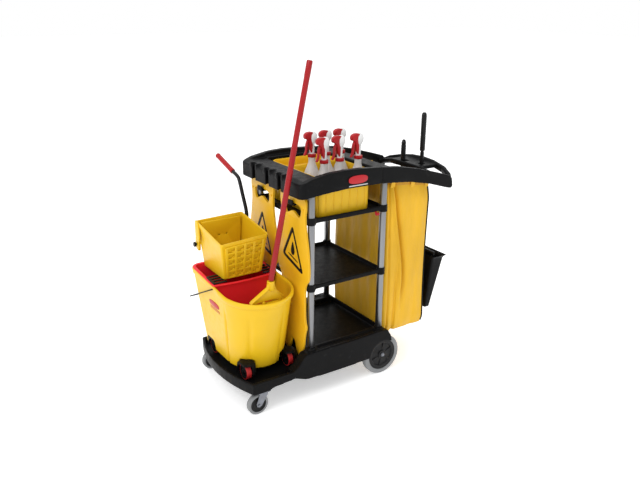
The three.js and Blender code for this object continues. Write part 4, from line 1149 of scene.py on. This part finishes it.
x, y = BROOM_X, BROOM_Y
stick = Shape().lathe([(6, 330.6), (10, 330.6), (10, 980), (11.6, 984), (12.5, 990), (12.5, 1062), (11, 1066),
        (11, 1068),
                       (12, 1070), (12, 1076), (8.5, 1088), (5, 1091.6), (1, 1092)], at=(x, y, 0), seg=40)
grip_rings(stick, range(996, 1060, 10), 12.2, 13)
piece("broom_stick", stick, "tube_black", "broom", ["broom_handle"])
cap = Shape().skin([[(px, py, z) for px, py in rounded_rect(x - hx, x + hx, y - hy, y + hy, 6)] for hx, hy,
        z in
                    ((13, 86, 258), (14, 88, 262), (14, 86, 300), (12, 40, 322), (11, 24, 328),
                     (9, 18, 330))])
for side in (-1, 1):
    cap.block(x - 15, x + 15, y + side * 60 - 6, y + side * 60 + 6, 262, 296, 2)
piece("broom_cap", cap, "black", "broom", ["broom_head"])
tufts = Shape()
for row in range(4):
    for k in range(44):
        fx0, fy0 = x - 9 + 6 * row, y - 82 + 164 * k / 43
        lean = (fy0 - y) * 0.28 + rng.uniform(-3, 3)
        low = 190 + rng.uniform(0, 7)
        bend = (fx0 + rng.uniform(-1, 1), fy0 + lean * 0.4, 228)
        end = (fx0 + rng.uniform(-2, 2), fy0 + lean, low)
        tufts.tube([(fx0, fy0, 262), bend, end], [1.5, 1.5, 1.1], 5)
piece("broom_bristles", tufts, "bristle", "broom")

# ---- Everything else from the CAD keeps its shape and gets a finish ---------------------------
FINISH = {"black_plastic": "black", "black_tube": "tube_black", "hub_plastic": "tread_black",
        "zinc_steel": "zinc"}
for node in frame["nodes"].values():
    if not node.hide_render:
        node.data.materials.clear()
        slot = next(s["material_slot"] for s in frame["record"]["subparts"] if s["node"] == node.name)
        node.data.materials.append(LOOKS[FINISH.get(slot, "black")])

# ---- Floor, light and camera ------------------------------------------------------------------
scene = bpy.context.scene
floor_mesh = bpy.data.meshes.new("floor")
reach = 30
edges = [(-reach, -reach, 0), (reach, -reach, 0), (reach, reach, 0), (-reach, reach, 0)]
floor_mesh.from_pydata(edges, [], [(0, 1, 2, 3)])
studio_white = material("floor_white", (0.88, 0.88, 0.88), 0.7, mottle=0.01, mottle_scale=1, grain=30,
        bump=0.01)
studio_white.node_tree.nodes["Principled BSDF"].inputs["Emission Color"].default_value = (1, 1, 1, 1)
studio_white.node_tree.nodes["Principled BSDF"].inputs["Emission Strength"].default_value = 0.42
floor_mesh.materials.append(studio_white)
floor = bpy.data.objects.new("floor", floor_mesh)
scene.collection.objects.link(floor)

world = bpy.data.worlds.new("studio")
world.use_nodes = True
world.node_tree.nodes["Background"].inputs["Color"].default_value = (1, 1, 1, 1)
world.node_tree.nodes["Background"].inputs["Strength"].default_value = 1.0
scene.world = world


def area_light(name, place, target, width, depth, power, color=(1, 1, 1)):
    lamp = bpy.data.lights.new(name, "AREA")
    lamp.shape, lamp.size, lamp.size_y, lamp.energy, lamp.color = "RECTANGLE", width, depth, power, color
    o = bpy.data.objects.new(name, lamp)
    o.location = place
    o.rotation_euler = (Vector(target) - Vector(place)).to_track_quat("-Z", "Y").to_euler()
    scene.collection.objects.link(o)


area_light("key", (-3.0, -1.4, 3.4), (0, 0, 0.5), 1.4, 1.2, 56)
area_light("top", (0.2, 0.6, 4.0), (0, 0, 0.4), 3.0, 3.0, 26)

EYE = (-1714.97, -2605.97, 1767.86)
YAW, PITCH, ROLL = (math.radians(a) for a in (-33.516, -19.479, 0.519))
FOCAL_PX, SENSOR, IMAGE_WIDTH = 687.998, 36.0, 640
ahead = Vector((-math.sin(YAW) * math.cos(PITCH), math.cos(YAW) * math.cos(PITCH), math.sin(PITCH)))
right = Vector((math.cos(YAW), math.sin(YAW), 0))
up = right.cross(ahead)
right, up = right * math.cos(ROLL) + up * math.sin(ROLL), up * math.cos(ROLL) - right * math.sin(ROLL)
camera = bpy.data.cameras.new("camera")
camera.sensor_width, camera.lens = SENSOR, FOCAL_PX / IMAGE_WIDTH * SENSOR
camera.clip_end = 100
eye = bpy.data.objects.new("camera", camera)
eye.matrix_world = Matrix.Translation(W(EYE)) @ Matrix((right, up, -ahead)).transposed().to_4x4()
scene.collection.objects.link(eye)
scene.camera = eye
scene.view_settings.view_transform = "Standard"
scene.view_settings.look = "None"
